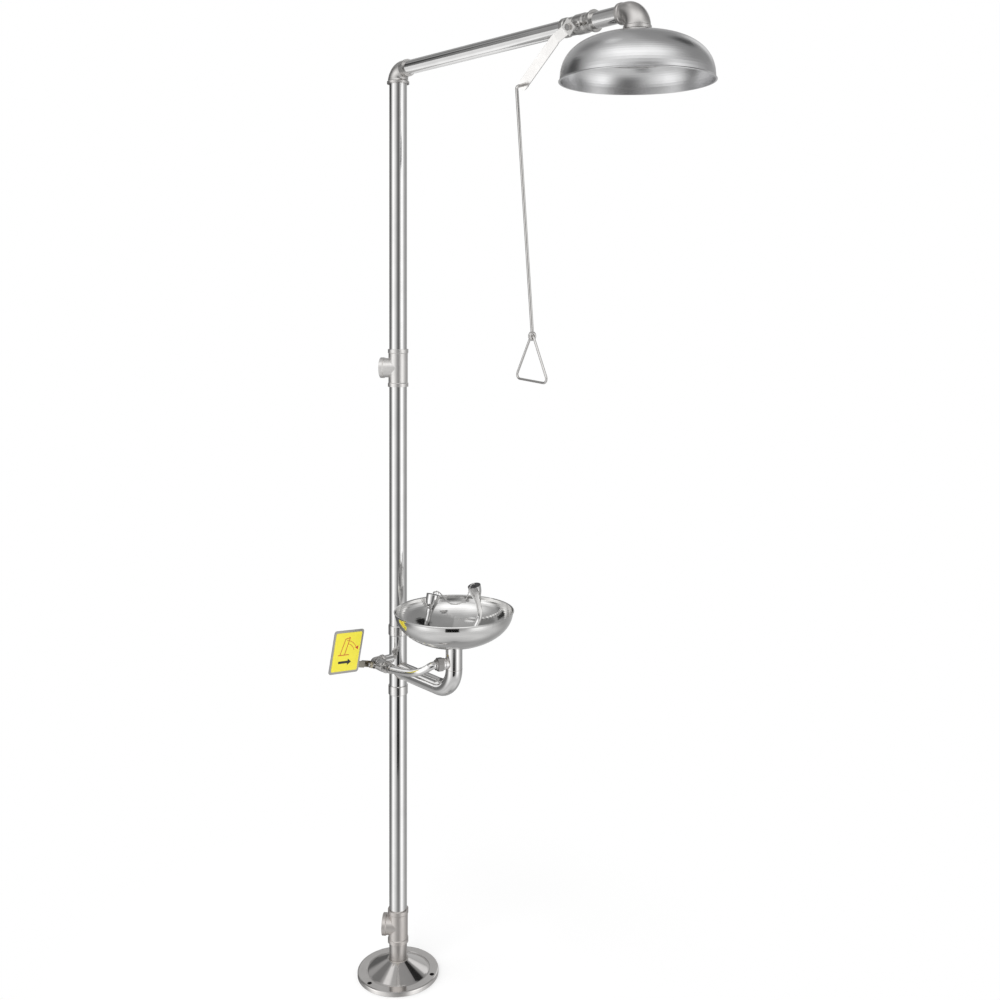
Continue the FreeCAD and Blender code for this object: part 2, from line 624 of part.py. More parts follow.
def pull_handle():
    """Triangular wire loop, raised so that its apex lies at the height of the eye."""
    apex = ROD_EYE + Z * 5.0
    left = ROD_EYE + Vector(-53.0, 0, -94.0)     # -X corner
    right = ROD_EYE + Vector(49.5, 0, -101.0)    # +X corner
    middle = (left + right) * 0.5
    loop = fillet_path([middle, left, apex, right, middle], [9.0, 6.0, 9.0])
    lift = Vector(0, 0, ROD_EYE.z - loop.BoundBox.ZMax)
    loop.translate(lift)
    return sweep(loop, 2.5, middle + lift, left.sub(middle))


save("pull_rod", pull_rod())
save("rod_nut", rod_nut())
save("pull_handle", pull_handle())


# ---- bowl ----
def bowl_profile(inset):
    """(radius, z) points of the bowl surface, from the centre out to the rim."""
    points = dish_profile(BOWL_R - inset, BOWL_DEPTH - inset, 2.08, 34)
    return [(radius, BOWL_Z - depth) for radius, depth in points]


def bowl():
    lip = [(BOWL_R, BOWL_Z - 4.0), (BOWL_R + 1.4, BOWL_Z - 2.6), (BOWL_R + 2.2, BOWL_Z - 1.1),
           (BOWL_R + 1.6, BOWL_Z - 0.1), (BOWL_R + 0.2, BOWL_Z),
           (BOWL_R - BOWL_T, BOWL_Z - 1.6)]
    outer = [(radius, z) for radius, z in bowl_profile(0) if z < BOWL_Z - 4.2]
    inner = [(radius, z) for radius, z in bowl_profile(BOWL_T) if z < BOWL_Z - 4.0]
    return spin(outer + lip + inner[::-1], BOWL_FOOT).cut(
        cyl(WASTE_BORE, BOWL_FOOT, Z, 800, 880))


def bowl_strainer():
    """Flat ring with a short skirt and ten holes."""
    holes = [cyl(1.4, BOWL_FOOT + polar(14.2, 36 * i, 841), Z, 0, 4) for i in range(10)]
    ring = tube(27.0, 10.75, BOWL_FOOT, Z, 841.9, 843.5)
    return cut(ring.fuse(tube(17.3, 15.8, BOWL_FOOT, Z, 836, 842.4)), *holes)


save("bowl", bowl())
save("bowl_strainer", bowl_strainer())

# ---- waste pipe and feed boss ----
FEED_OUT = polar(1, FEED_AZIMUTH)     # from the riser axis out through the boss
FEED_CENTRE = Vector(BOWL_X, 0, FEED_Z)
FEED_END = 34.6                       # feed pipe end, distance from the riser axis


def waste_bar(radius):
    """Bar from the column along +X, then bent up to the bowl."""
    start = Vector(0, 0, WASTE_Z)
    bend_start = Vector(BOWL_X - WASTE_BEND, 0, WASTE_Z)
    bend_end = Vector(BOWL_X, 0, WASTE_Z + WASTE_BEND)
    offset = WASTE_BEND * math.sqrt(0.5)
    bend_middle = bend_start + Vector(offset, 0, WASTE_BEND - offset)
    path = Part.Wire([line(start, bend_start),
                      Part.Arc(bend_start, bend_middle, bend_end).toShape(),
                      line(bend_end, Vector(BOWL_X, 0, 860))])
    return sweep(path, radius, start, X)


def waste_pipe():
    """Waste pipe trimmed to the column and to the underside of the bowl."""
    underside = [(radius, z - 0.01) for radius, z in bowl_profile(0) if 0 < radius < 100]
    bowl_space = spin([(0, 900), (0, BOWL_Z - BOWL_DEPTH - 0.01)] + underside + [(100, 900)],
                      BOWL_FOOT)
    return largest(cut(
        waste_bar(WASTE_R),
        waste_bar(WASTE_BORE),
        cyl(COL_R + 0.02, ORIGIN, Z, 600, 860),
        bowl_space,
        cyl(8.6, FEED_CENTRE, FEED_OUT, 0, 40)))


def feed_boss():
    """Boss outside the waste pipe, with a spigot through its wall to the inner tube."""
    boss = join(
        cyl(12.2, FEED_CENTRE, FEED_OUT, 0, 27.8),
        cyl(11.0, FEED_CENTRE, FEED_OUT, 0, 34.56),
        end_band(12.2, 13.2, FEED_CENTRE + FEED_OUT * 27.8, FEED_OUT * -1, 5))
    boss = boss.cut(cyl(WASTE_R + 0.02, BOWL_FOOT, Z, 700, 900))
    boss = max(boss.Solids, key=lambda solid: solid.CenterOfMass.dot(FEED_OUT))
    return largest(cut(
        boss.fuse(cyl(8.57, FEED_CENTRE, FEED_OUT, 8, 25)),
        cyl(6.5, FEED_CENTRE, FEED_OUT, 0, 60),
        cyl(RISER_R + 0.02, BOWL_FOOT, Z, 700, 900)))


def inner_supply_tube():
    """Upright tube, closed at the foot, fed through the boss."""
    body = tube(RISER_R, RISER_BORE, BOWL_FOOT, Z, 786, NOZZLE_TEE_Z - 6)
    body = body.fuse(cyl(RISER_R, BOWL_FOOT, Z, 784, 786.5))
    return body.cut(cyl(6.0, FEED_CENTRE, FEED_OUT, 0, 20))


save("waste_pipe", waste_pipe())
save("feed_boss", feed_boss())
save("inner_supply_tube", inner_supply_tube())

# ---- eyewash supply ----
VALVE_OUTLET = EYEWASH_BALL + X * EYEWASH_HALF
FEED_FIT = FEED_R + CLEARANCE


def supply_elbow():
    """Elbow from the column stub into the eyewash valve."""
    centre = Vector(0, EYEWASH_Y, EYEWASH_Z)
    body = join(
        cyl(12.6, centre, Y, 0, 22),
        Part.makeSphere(12.6, centre),
        cyl(12.6, centre, X, 0, 7.5),
        cyl(8.4, centre, X, 0, 15.2),
        end_band(12.6, 14.0, centre + Y * 22, Y * -1, 6))
    return cut(
        body,
        cyl(SUPPLY_R + CLEARANCE, centre, Y, 10.5, 23),
        cyl(SUPPLY_BORE, centre, Y, 0, 22),
        cyl(6.0, centre, X, 0, 20),
        Part.makeSphere(7.5, centre),
        tube(40.0, 8.4, centre, X, 11.4, 30))   # trims the spigot back to 8.4


def feed_bar(radius):
    """Bar from the valve neck to the boss: a spline with a straight length at each end."""
    points = [
        VALVE_OUTLET + X * 20.5, VALVE_OUTLET + Vector(31, -0.2, 0.7),
        Vector(110, -66.5, 766.2), Vector(145, -67.2, 772.8), Vector(173, -64.8, 781.5),
        Vector(191, -57.2, 791.5), FEED_CENTRE + FEED_OUT * 47.0]
    return join(
        spline_bar(points, radius, InitialTangent=X, FinalTangent=FEED_OUT * -1),
        cyl(radius, VALVE_OUTLET, X, 15.52, 20.5),
        cyl(radius, FEED_CENTRE, FEED_OUT, FEED_END, 47.0))


def union_nut():
    return join(
        nut(28, FEED_FIT, FEED_CENTRE, FEED_OUT, 28.6, 41.0, turn=8),
        tube(11.6, FEED_FIT, FEED_CENTRE, FEED_OUT, 40.0, 45.5),
    ).cut(cyl(11.03, FEED_CENTRE, FEED_OUT, 27, FEED_END + 0.02))


# (radius, distance along +X) of the round nut on the valve neck
TUBE_NUT = [(9.63, 0), (10.6, 0), (11.4, 0.8), (11.4, 6.2), (10.6, 7.0),
            (FEED_FIT, 7.0), (FEED_FIT, 5.0), (9.63, 5.0)]

save("supply_elbow", supply_elbow())
save("feed_tube_nut", spin(TUBE_NUT, VALVE_OUTLET + X * 12.0, X, Y))
save("feed_pipe", feed_bar(FEED_R).cut(feed_bar(FEED_BORE)))
save("union_nut", union_nut())

# ---- nozzles: one on the +Y side and one on the -Y side, leaning towards each other ----
NOZZLE_TEE = Vector(BOWL_X, 0, NOZZLE_TEE_Z)
NOZZLE_FIT = NOZZLE_ARM_R + CLEARANCE
ARM_START_Y = 13.2                    # inner end of a nozzle arm

# (radius, distance along the nozzle axis from the neck)
HEAD_PROFILE = [
    (NOZZLE_FIT, 0), (7.6, 0), (7.8, 4), (8.5, 8.5), (10.2, 14), (12.3, 19.5), (13.8, 25),
    (14.6, 31), (14.9, 36), (15.2, 39.9), (15.0, 40.5), (14.45, 40.5), (14.45, 37.0),
    (13.2, 37.0), (13.2, 33.0), (11.6, 33.0), (11.2, 25), (9.6, 19.5), (7.4, 14), (5.6, 10),
    (4.6, 7), (4.6, 6.03), (NOZZLE_FIT, 6.03)]
CAP_PROFILE = [
    (0, 35.6), (9.0, 35.6), (12.5, 37.06), (13.4, 37.06), (14.25, 39.95), (13.8, 40.4),
    (12.6, 40.4), (12.0, 39.7), (4.4, 39.9), (3.6, 41.2), (0, 41.4)]
SPRAY_RINGS = ((0, 1), (4.5, 6), (9.0, 12))      # ring radius, holes


def nozzle_tee():
    body = join(
        cyl(13.5, NOZZLE_TEE, Z, -17, 8),
        cone(13.5, 9.0, NOZZLE_TEE, Z, 8, 12),
        cyl(9.2, NOZZLE_TEE, Y, -22, 22))
    return cut(
        body,
        cyl(RISER_R + CLEARANCE, NOZZLE_TEE, Z, -18, -6),
        cyl(RISER_BORE, NOZZLE_TEE, Z, -10, 5),
        cyl(NOZZLE_ARM_BORE, NOZZLE_TEE, Y, -23, 23),
        cyl(NOZZLE_FIT, NOZZLE_TEE, Y, 13, 23),
        cyl(NOZZLE_FIT, NOZZLE_TEE, Y, -13, -23))


def nozzle_arm(side, neck, lean):
    start = NOZZLE_TEE + Y * (side * ARM_START_Y)
    path = fillet_path([start, NOZZLE_TEE + Y * (side * 57.5), neck - lean * 33.3,
                        neck + lean * 6.0], [20.0, 33.0])
    return sweep(path, NOZZLE_ARM_R, start, Y * side).cut(
        sweep(path, NOZZLE_ARM_BORE, start, Y * side))


def spray_plate(neck, lean):
    holes = []
    for ring_r, count in SPRAY_RINGS:
        for i in range(count):
            angle = 2 * math.pi * i / count
            spot = (neck + X * (ring_r * math.cos(angle))
                    + lean.cross(X) * (ring_r * math.sin(angle)))
            holes.append(cyl(0.9, spot, lean, 32, 36))
    return cyl(13.15, neck, lean, 33.05, 35.0).cut(Part.makeCompound(holes))


def dust_cap(neck, lean):
    return spin(CAP_PROFILE, neck, lean, X).cut(cyl(1.2, neck, lean, 38.5, 44))


def cap_pin(neck, lean):
    return cyl(1.18, neck, lean, 38.52, 44).fuse(Part.makeSphere(2.2, neck + lean * 44.5))


NOZZLES = []                          # side, neck point, nozzle axis
for side in (1, -1):
    NOZZLES.append((side, Vector(BOWL_X, side * NOZZLE_Y, NOZZLE_Z),
                    Vector(0, -side * math.sin(NOZZLE_LEAN), math.cos(NOZZLE_LEAN))))

# centre line of the cap chain, a thin cord hanging between the two cap pins
CHAIN = [
    (217.4, 54.2, 968.6), (218.8, 48.6, 967.9), (220.2, 43.4, 963.8), (220.3, 39.8, 955.0),
    (219.4, 36.4, 944.5), (218.2, 29.0, 935.0), (217.0, 14.5, 930.6), (216.2, 0.0, 931.4),
    (216.0, -14.0, 937.0), (216.0, -27.0, 949.5), (216.0, -36.0, 959.6),
    (216.0, -43.5, 966.0), (216.0, -49.5, 968.9), (216.0, -54.0, 968.8)]

save("nozzle_tee", nozzle_tee())
save_group("nozzle_arms", [nozzle_arm(*nozzle) for nozzle in NOZZLES])
save_group("nozzle_heads", [spin(HEAD_PROFILE, neck, lean, X) for _, neck, lean in NOZZLES])
save_group("spray_plates", [spray_plate(neck, lean) for _, neck, lean in NOZZLES])
save_group("dust_caps", [dust_cap(neck, lean) for _, neck, lean in NOZZLES])
save_group("cap_pins", [cap_pin(neck, lean) for _, neck, lean in NOZZLES])
save("cap_chain", spline_bar([Vector(*point) for point in CHAIN], 1.2))

# ---- eyewash push plate: its lower edge runs towards -Y, its face looks towards +X ----
PLATE_W, PLATE_H, PLATE_T = 79.8, 101.0, 1.5
PLATE_CORNER = Vector(28.0, -137.8, 763.9)       # lower corner nearest the column
PLATE_ACROSS = Vector(28.0, -217.0, 771.9).sub(PLATE_CORNER).normalize()
PLATE_UP = Vector(41.0, -127.7, 863.8).sub(PLATE_CORNER).normalize()
PLATE_OUT = PLATE_UP.cross(PLATE_ACROSS).normalize()
PLATE_CENTRE = (PLATE_CORNER + PLATE_ACROSS * (PLATE_W / 2) + PLATE_UP * (PLATE_H / 2)
                + PLATE_OUT * 4.6)               # on the outer face
STRAP_UP = Vector(0, math.sin(EYEWASH_ROLL), math.cos(EYEWASH_ROLL))
RIVETS = [EYEWASH_BALL + EYEWASH_STEM * distance for distance in (84.0, 108.0)]
RIVET_HOLES = [cyl(2.55, rivet, X, -10, 30) for rivet in RIVETS]

# flats of the stepped strap: distance along the stem, x from, x to, length along the stem
STRAP_FLATS = ((30.0, -10.9, 7.2, 3.0), (30.0, -10.9, -7.9, 26.0),
               (53.0, -10.9, 0.0, 3.0), (53.0, -3.0, 0.0, 66.0))


def rounded_plate(offset, width, height, radius, thickness):
    """Rounded rectangle parallel to the push plate, offset from its outer face."""
    centre = PLATE_CENTRE + PLATE_OUT * offset
    corners = [centre + PLATE_ACROSS * (a * width / 2) + PLATE_UP * (b * height / 2)
               for a, b in ((-1, -1), (1, -1), (1, 1), (-1, 1))]
    arcs = [corner_arc(corners[i - 1], corners[i], corners[(i + 1) % 4], radius)
            for i in range(4)]
    edges = []
    for i in range(4):
        edges += [line(arcs[i - 1][2], arcs[i][0]), Part.Arc(*arcs[i]).toShape()]
    return Part.Face(Part.Wire(edges)).extrude(PLATE_OUT * thickness)


def eyewash_handle_strap():
    """Strap from the stem to the plate, with a wedge pad filling the lean between them."""
    flats = [slab(EYEWASH_BALL + EYEWASH_STEM * distance, X, STRAP_UP, x_from, x_to,
                  -7.2, 7.2, EYEWASH_STEM * length)
             for distance, x_from, x_to, length in STRAP_FLATS]
    strap = join(*flats).cut(cyl(4.02, EYEWASH_BALL, EYEWASH_STEM, 25, 40))
    pad = slab(EYEWASH_BALL, EYEWASH_STEM, STRAP_UP, 76, 116, -7.0, 7.0, X * 14.0)
    beyond_plate = slab(PLATE_CENTRE - PLATE_OUT * (PLATE_T + 0.02), PLATE_ACROSS, PLATE_UP,
                        -150, 150, -150, 150, PLATE_OUT * 60)
    pad = cut(pad, beyond_plate, *RIVET_HOLES)
    return cut(strap, beyond_plate, *RIVET_HOLES).fuse(pad)


def plate_rivet(rivet):
    """Rivet along X, its head behind the strap and its end just inside the plate face."""
    to_face = PLATE_CENTRE.sub(rivet).dot(PLATE_OUT) / PLATE_OUT.x
    shank = cyl(2.5, rivet, X, -4.4, to_face - 0.35)
    return shank.fuse(cyl(4.2, rivet, X, -5.6, -3.04)).removeSplitter()


save("eyewash_handle_strap", eyewash_handle_strap())
save("push_plate", cut(rounded_plate(-PLATE_T, PLATE_W, PLATE_H, 6.0, PLATE_T), *RIVET_HOLES))
save_group("plate_rivets", [plate_rivet(rivet) for rivet in RIVETS])
save("push_plate_label", rounded_plate(0.02, PLATE_W - 10.0, PLATE_H - 11.0, 3.5, 0.4))
save("eyewash_stem_nut", nut(13, 4.01, EYEWASH_BALL, EYEWASH_STEM, 33.02, 38.0, turn=5))
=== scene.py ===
# Emergency shower with eyewash on one upright column. Metres, +Z up.
# The column stands on the origin with its flange at z = 0. The arm runs along +X to the
# shower dome (x = 0.774, z about 2.05), and the eyewash bowl sits on a riser at x = 0.216.
# The yellow push plate hangs on the -Y side and faces +X. The camera looks from +X, -Y.
import math
from contextlib import contextmanager

import bmesh
import bpy
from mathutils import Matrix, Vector


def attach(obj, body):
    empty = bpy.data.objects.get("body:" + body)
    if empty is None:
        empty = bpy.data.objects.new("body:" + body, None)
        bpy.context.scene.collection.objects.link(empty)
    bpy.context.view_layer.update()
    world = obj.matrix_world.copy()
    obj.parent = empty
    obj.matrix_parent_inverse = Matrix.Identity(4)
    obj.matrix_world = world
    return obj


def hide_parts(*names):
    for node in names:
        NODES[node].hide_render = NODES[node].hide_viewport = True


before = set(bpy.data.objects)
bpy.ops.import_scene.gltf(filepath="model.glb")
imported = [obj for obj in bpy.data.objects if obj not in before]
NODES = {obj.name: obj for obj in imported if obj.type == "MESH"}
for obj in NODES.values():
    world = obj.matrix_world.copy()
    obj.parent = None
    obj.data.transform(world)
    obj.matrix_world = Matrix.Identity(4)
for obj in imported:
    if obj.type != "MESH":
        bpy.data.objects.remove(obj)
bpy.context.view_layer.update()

MM = 0.001
X, Y, Z = (1, 0, 0), (0, 1, 0), (0, 0, 1)

# ---- driving places of the product
RISER_X = 0.216          # axis of the riser below the bowl
WASTE_Z = 0.7315         # axis of the level waste pipe
BEND_RADIUS = 0.054      # waste pipe to riser
COLUMN_RADIUS = 0.0213
RISER_RADIUS = 0.0191
STUB_Z = 0.761           # eyewash valve and its stub on the column
SHOWER_VALVE = (0.628, 0, 2.173)
EYEWASH_VALVE = (0.029, -0.065, STUB_Z)
DOME_X = 0.774

scene = bpy.context.scene
scene.view_settings.view_transform = "Standard"
scene.view_settings.look = "None"
scene.view_settings.exposure = 0.0
scene.view_settings.gamma = 1.0


def basis(axis):
    """The unit axis and two unit vectors square to it."""
    along = Vector(axis).normalized()
    side = along.orthogonal().normalized()
    return along, side, along.cross(side)


# ------------------------------------------------------------------ shader graphs
class Graph:
    """Short calls for a node tree. A value may be a number, a tuple or a socket."""

    def __init__(self, tree, clear=True):
        self.tree = tree
        if clear:
            tree.nodes.clear()

    def node(self, kind, **settings):
        node = self.tree.nodes.new(kind)
        for key, value in settings.items():
            setattr(node, key, value)
        return node

    def put(self, socket, value):
        if isinstance(value, bpy.types.NodeSocket):
            self.tree.links.new(value, socket)
        else:
            socket.default_value = value

    def put_color(self, socket, value):
        if isinstance(value, (int, float)):
            value = (value, value, value)
        self.put(socket, (*value, 1) if isinstance(value, tuple) else value)

    def fill(self, node, *values):
        """Put the values in the first inputs of a node."""
        for socket, value in zip(node.inputs, values):
            self.put(socket, value)
        return node

    def math(self, operation, *values):
        return self.fill(self.node("ShaderNodeMath", operation=operation), *values).outputs[0]

    def add(self, a, b):
        return self.math("ADD", a, b)

    def sub(self, a, b):
        return self.math("SUBTRACT", a, b)

    def mul(self, a, b):
        return self.math("MULTIPLY", a, b)

    def div(self, a, b):
        return self.math("DIVIDE", a, b)

    def vector_math(self, operation, *values):
        node = self.fill(self.node("ShaderNodeVectorMath", operation=operation), *values)
        return node.outputs[1 if operation in ("DOT_PRODUCT", "LENGTH") else 0]

    def combine(self, *values):
        return self.fill(self.node("ShaderNodeCombineXYZ"), *values).outputs[0]

    def coords(self, kind="Object"):
        return self.node("ShaderNodeTexCoord").outputs[kind]

    def noise(self, vector, scale, detail=2.0, rough=0.5):
        node = self.node("ShaderNodeTexNoise")
        self.put(node.inputs["Vector"], vector)
        node.inputs["Scale"].default_value = scale
        node.inputs["Detail"].default_value = detail
        node.inputs["Roughness"].default_value = rough
        return node.outputs["Fac"]

    def remap(self, value, start, end, before=0.0, after=1.0, kind="LINEAR"):
        """Go from `before` to `after` while the value goes from `start` to `end`."""
        node = self.node("ShaderNodeMapRange", interpolation_type=kind)
        return self.fill(node, value, start, end, before, after).outputs[0]

    def step(self, value, **span):
        return self.remap(value, kind="SMOOTHSTEP", **span)

    def ramp(self, value, stops):
        """Grey ramp through (position, brightness) stops."""
        node = self.node("ShaderNodeValToRGB")
        elements = node.color_ramp.elements
        elements.remove(elements[-1])
        elements[0].position = stops[0][0]
        elements[0].color = (*[stops[0][1]] * 3, 1)
        for position, grey in stops[1:]:
            elements.new(position).color = (grey, grey, grey, 1)
        return self.fill(node, value).outputs[0]

    def mix(self, factor, a, b, blend="MIX"):
        node = self.node("ShaderNodeMix", data_type="RGBA", blend_type=blend)
        self.put(node.inputs[0], factor)
        self.put_color(node.inputs[6], a)      # 6 and 7 are the colour inputs,
        self.put_color(node.inputs[7], b)      # 2 the colour output
        return node.outputs[2]

    def vary(self, value, noise, amount):
        """Swing the value by a noise centred on 0.5."""
        return self.add(value, self.mul(self.sub(noise, 0.5), amount))

    def shader(self, kind, color, strength=None):
        node = self.node("ShaderNode" + kind)
        self.put_color(node.inputs[0], color)
        if strength is not None:
            node.inputs[1].default_value = strength
        return node.outputs[0]

    def mix_shader(self, factor, a, b):
        return self.fill(self.node("ShaderNodeMixShader"), factor, a, b).outputs[0]

    def output(self, shader, kind="Material"):
        self.fill(self.node("ShaderNodeOutput" + kind), shader)

    def bump(self, principled, height, strength, distance_mm, bevel_mm=0.0):
        node = self.node("ShaderNodeBump")
        node.inputs["Strength"].default_value = strength
        node.inputs["Distance"].default_value = distance_mm * MM
        self.put(node.inputs["Height"], height)
        if bevel_mm:
            bevel = self.node("ShaderNodeBevel", samples=4)
            bevel.inputs["Radius"].default_value = bevel_mm * MM
            self.put(node.inputs["Normal"], bevel.outputs[0])
        self.put(principled.inputs["Normal"], node.outputs[0])


def new_material(name):
    material = bpy.data.materials.new(name)
    material.use_nodes = True
    return material, Graph(material.node_tree)


def scaled(color, factor):
    return tuple(part * factor for part in color)


def grain_noise(g, coords, grain, axis, centre, fine, coarse):
    if grain == "blast":
        small = g.noise(coords, fine, 3.0, 0.7)
        large = g.noise(coords, fine * 0.22, 2.0, 0.5)
        return g.add(g.mul(small, 0.7), g.mul(large, 0.3))
    offset = g.vector_math("SUBTRACT", coords, tuple(centre))
    along, side, cross = [g.vector_math("DOT_PRODUCT", offset, tuple(direction))
                          for direction in basis(axis)]
    if grain == "line":
        stretched = g.combine(g.mul(along, coarse), g.mul(side, fine), g.mul(cross, fine))
    else:
        radius = g.math("SQRT", g.add(g.mul(side, side), g.mul(cross, cross)))
        turn = g.math("SINE", g.math("ARCTAN2", side, cross))
        stretched = g.combine(g.mul(radius, fine), g.mul(along, fine),
                              g.mul(turn, coarse * 0.06))
    return g.noise(stretched, 1.0, 3.0, 0.65)


def steel(name, base, rough, fine, bump, rough_var, grain="blast", axis=Z, centre=(0, 0, 0),
          coarse=9.0, bump_mm=0.02, smudge=0.05, bevel=0.0, dark=0.0, dirt=0.0):
    """Stainless steel. Grain: line (drawn along the axis), ring (turned round the axis) or
    blast (no direction). fine and coarse are noise scales across and along the grain,
    rough_var and smudge swing the roughness by grain and by cloud, bevel is in mm."""
    material, g = new_material(name)
    principled = g.node("ShaderNodeBsdfPrincipled")
    g.output(principled.outputs[0])
    coords = g.coords()
    texture = grain_noise(g, coords, grain, axis, centre, fine, coarse)
    cloud = g.noise(coords, 22.0, 4.0, 0.6)
    roughness = g.vary(g.vary(rough, texture, rough_var), cloud, smudge)
    g.put(principled.inputs["Roughness"], g.math("MAXIMUM", roughness, 0.03))
    color = g.mix(g.remap(cloud, start=0.35, end=0.7), base, scaled(base, 0.93))
    color = g.mix(g.remap(texture, start=0.3, end=0.75, after=dark), color, scaled(base, 0.55))
    if dirt:
        patch = g.remap(g.noise(coords, 6.0, 2.0, 0.5), start=0.45, end=0.7)
        red, green, blue = base
        color = g.mix(g.mul(patch, dirt), color, (red * 0.72, green * 0.66, blue * 0.60))
    g.put(principled.inputs["Base Color"], color)
    principled.inputs["Metallic"].default_value = 1.0
    g.bump(principled, texture, bump, bump_mm, bevel)
    return material


def plastic(name, base, rough, fine=1800.0, bump=0.1, coat=0.0, tint=None):
    """Plastic or print, clouded between the base colour and the tint."""
    material, g = new_material(name)
    principled = g.node("ShaderNodeBsdfPrincipled")
    g.output(principled.outputs[0])
    coords = g.coords()
    texture = g.noise(coords, fine, 3.0, 0.6)
    cloud = g.noise(coords, 60.0, 3.0, 0.6)
    g.put(principled.inputs["Roughness"], g.vary(rough, cloud, 0.12))
    color = g.mix(g.remap(cloud, start=0.35, end=0.7), base, tint or scaled(base, 0.92))
    g.put(principled.inputs["Base Color"], color)
    principled.inputs["Coat Weight"].default_value = coat
    principled.inputs["Coat Roughness"].default_value = 0.12
    g.bump(principled, texture, bump, distance_mm=0.03)
    return material


def darken_holes(material, centres, radius):
    """Black, rough metal-free shade inside upright drilled holes."""
    g = Graph(material.node_tree, clear=False)
    inputs = next(n for n in g.tree.nodes if n.type == "BSDF_PRINCIPLED").inputs
    coords = g.coords()
    mask = None
    for x, y in centres:
        offset = g.vector_math("SUBTRACT", coords, (x, y, 0))
        flat = g.vector_math("MULTIPLY", offset, (1, 1, 0))
        inside = g.math("LESS_THAN", g.vector_math("LENGTH", flat), radius)
        mask = inside if mask is None else g.math("MAXIMUM", mask, inside)
    color = inputs["Base Color"].links[0].from_socket
    g.put(inputs["Base Color"], g.mix(mask, color, 0.010))
    g.put(inputs["Metallic"], g.sub(1.0, mask))
    roughness = inputs["Roughness"].links[0].from_socket
    g.put(inputs["Roughness"], g.math("MAXIMUM", roughness, g.mul(mask, 0.9)))


# ------------------------------------------------------------------ materials
def stem_axis(tilt):
    """Direction towards -Y, raised by the tilt in degrees."""
    return (0.0, -math.cos(math.radians(tilt)), math.sin(math.radians(tilt)))


SHOWER_STEM, EYEWASH_STEM = stem_axis(-17), stem_axis(14)

# settings that several materials share
PIPE = dict(base=(0.82, 0.815, 0.81), rough_var=0.04, bump=0.015)
STRAIGHT = dict(PIPE, rough=0.09, grain="line", fine=2200, coarse=6, smudge=0.03)
CAST = dict(fine=1700, bump_mm=0.05, bevel=0.6)
VALVE = dict(base=(0.66, 0.65, 0.635), rough=0.19, grain="ring", axis=X, fine=2200,
             bump=0.05, rough_var=0.08)
NUT = dict(fine=1500, bump=0.03, rough_var=0.06, smudge=0.06, bevel=0.3)
STEM = dict(base=(0.76, 0.75, 0.74), rough=0.18, grain="ring", fine=3000, bump=0.08,
            rough_var=0.08)
SPUN = dict(grain="ring", coarse=10, bump=0.025, rough_var=0.04, smudge=0.03)
BRUSHED = dict(grain="line", fine=1900, coarse=14)
LABEL = dict(fine=900)

pipe_upright = steel("pipe_upright", axis=Z, **STRAIGHT)
pipe_arm = steel("pipe_arm", axis=X, **STRAIGHT)
pipe_bent = steel("pipe_bent", rough=0.10, fine=900, smudge=0.04, **PIPE)
sleeve = steel("sleeve_turned", base=(0.82, 0.81, 0.80), rough=0.17, grain="ring", fine=3000,
               bump=0.05, rough_var=0.06, bevel=0.3)
nipple = steel("nipple_satin", base=(0.60, 0.575, 0.555), rough=0.30, grain="ring", fine=2400,
               bump=0.10, rough_var=0.10, dirt=0.4)
elbow = steel("cast_elbow", base=(0.74, 0.725, 0.71), rough=0.33, bump=0.12, rough_var=0.10,
              smudge=0.08, dirt=0.15, dark=0.06, **CAST)
cast = steel("cast_blasted", base=(0.88, 0.865, 0.85), rough=0.36, bump=0.10, rough_var=0.10,
             smudge=0.08, dirt=0.10, dark=0.05, **CAST)
cast_warm = steel("cast_blasted_warm", base=(0.72, 0.685, 0.66), rough=0.42, bump=0.14,
                  rough_var=0.12, smudge=0.10, dirt=0.3, dark=0.08, **CAST)
base_machined = steel("base_machined", base=(0.82, 0.80, 0.785), rough=0.11, grain="ring",
                      fine=2600, bump=0.03, bump_mm=0.03, rough_var=0.06, bevel=0.4, dirt=0.06)
shower_valve = steel("valve_satin", centre=SHOWER_VALVE, bevel=0.4, **VALVE)
eyewash_valve = steel("valve_satin_small", centre=EYEWASH_VALVE, bevel=0.35, **VALVE)
nut_machined = steel("nut_machined", base=(0.46, 0.45, 0.44), rough=0.13, **NUT)
nut = steel("nut_bright", base=(0.60, 0.585, 0.57), rough=0.15, **NUT)
nut_warm = steel("nut_warm", base=(0.66, 0.60, 0.46), rough=0.24,
                 **dict(NUT, bump=0.06, rough_var=0.10, smudge=0.10))
shower_stem = steel("stem_turned", axis=SHOWER_STEM, centre=SHOWER_VALVE, **STEM)
eyewash_stem = steel("stem_turned_small", axis=EYEWASH_STEM, centre=EYEWASH_VALVE, **STEM)
ball_mirror = steel("ball_mirror", base=(0.86, 0.855, 0.85), rough=0.05, fine=600, bump=0.01,
                    rough_var=0.02, smudge=0.03)
dome_spun = steel("dome_spun_satin", base=(0.80, 0.80, 0.805), rough=0.26,
                  centre=(DOME_X, 0, 2.05), fine=1300, **SPUN)
bowl_spun = steel("bowl_spun", base=(0.84, 0.835, 0.825), rough=0.09,
                  centre=(RISER_X, 0, 0.9), fine=1500, **SPUN)
strip = steel("strip_brushed", base=(0.93, 0.915, 0.90), rough=0.26, axis=(-0.79, 0.16, -0.47),
              bump=0.10, bump_mm=0.03, rough_var=0.10, smudge=0.04, bevel=0.35, **BRUSHED)
hub = steel("hub_plate_brushed", base=(0.80, 0.79, 0.775), rough=0.28, axis=X, bump=0.12,
            rough_var=0.14, bevel=0.3, **BRUSHED)
strap = steel("strap_brushed", base=(0.34, 0.325, 0.28), rough=0.28, axis=EYEWASH_STEM,
              bump=0.10, rough_var=0.12, bevel=0.3, **BRUSHED)
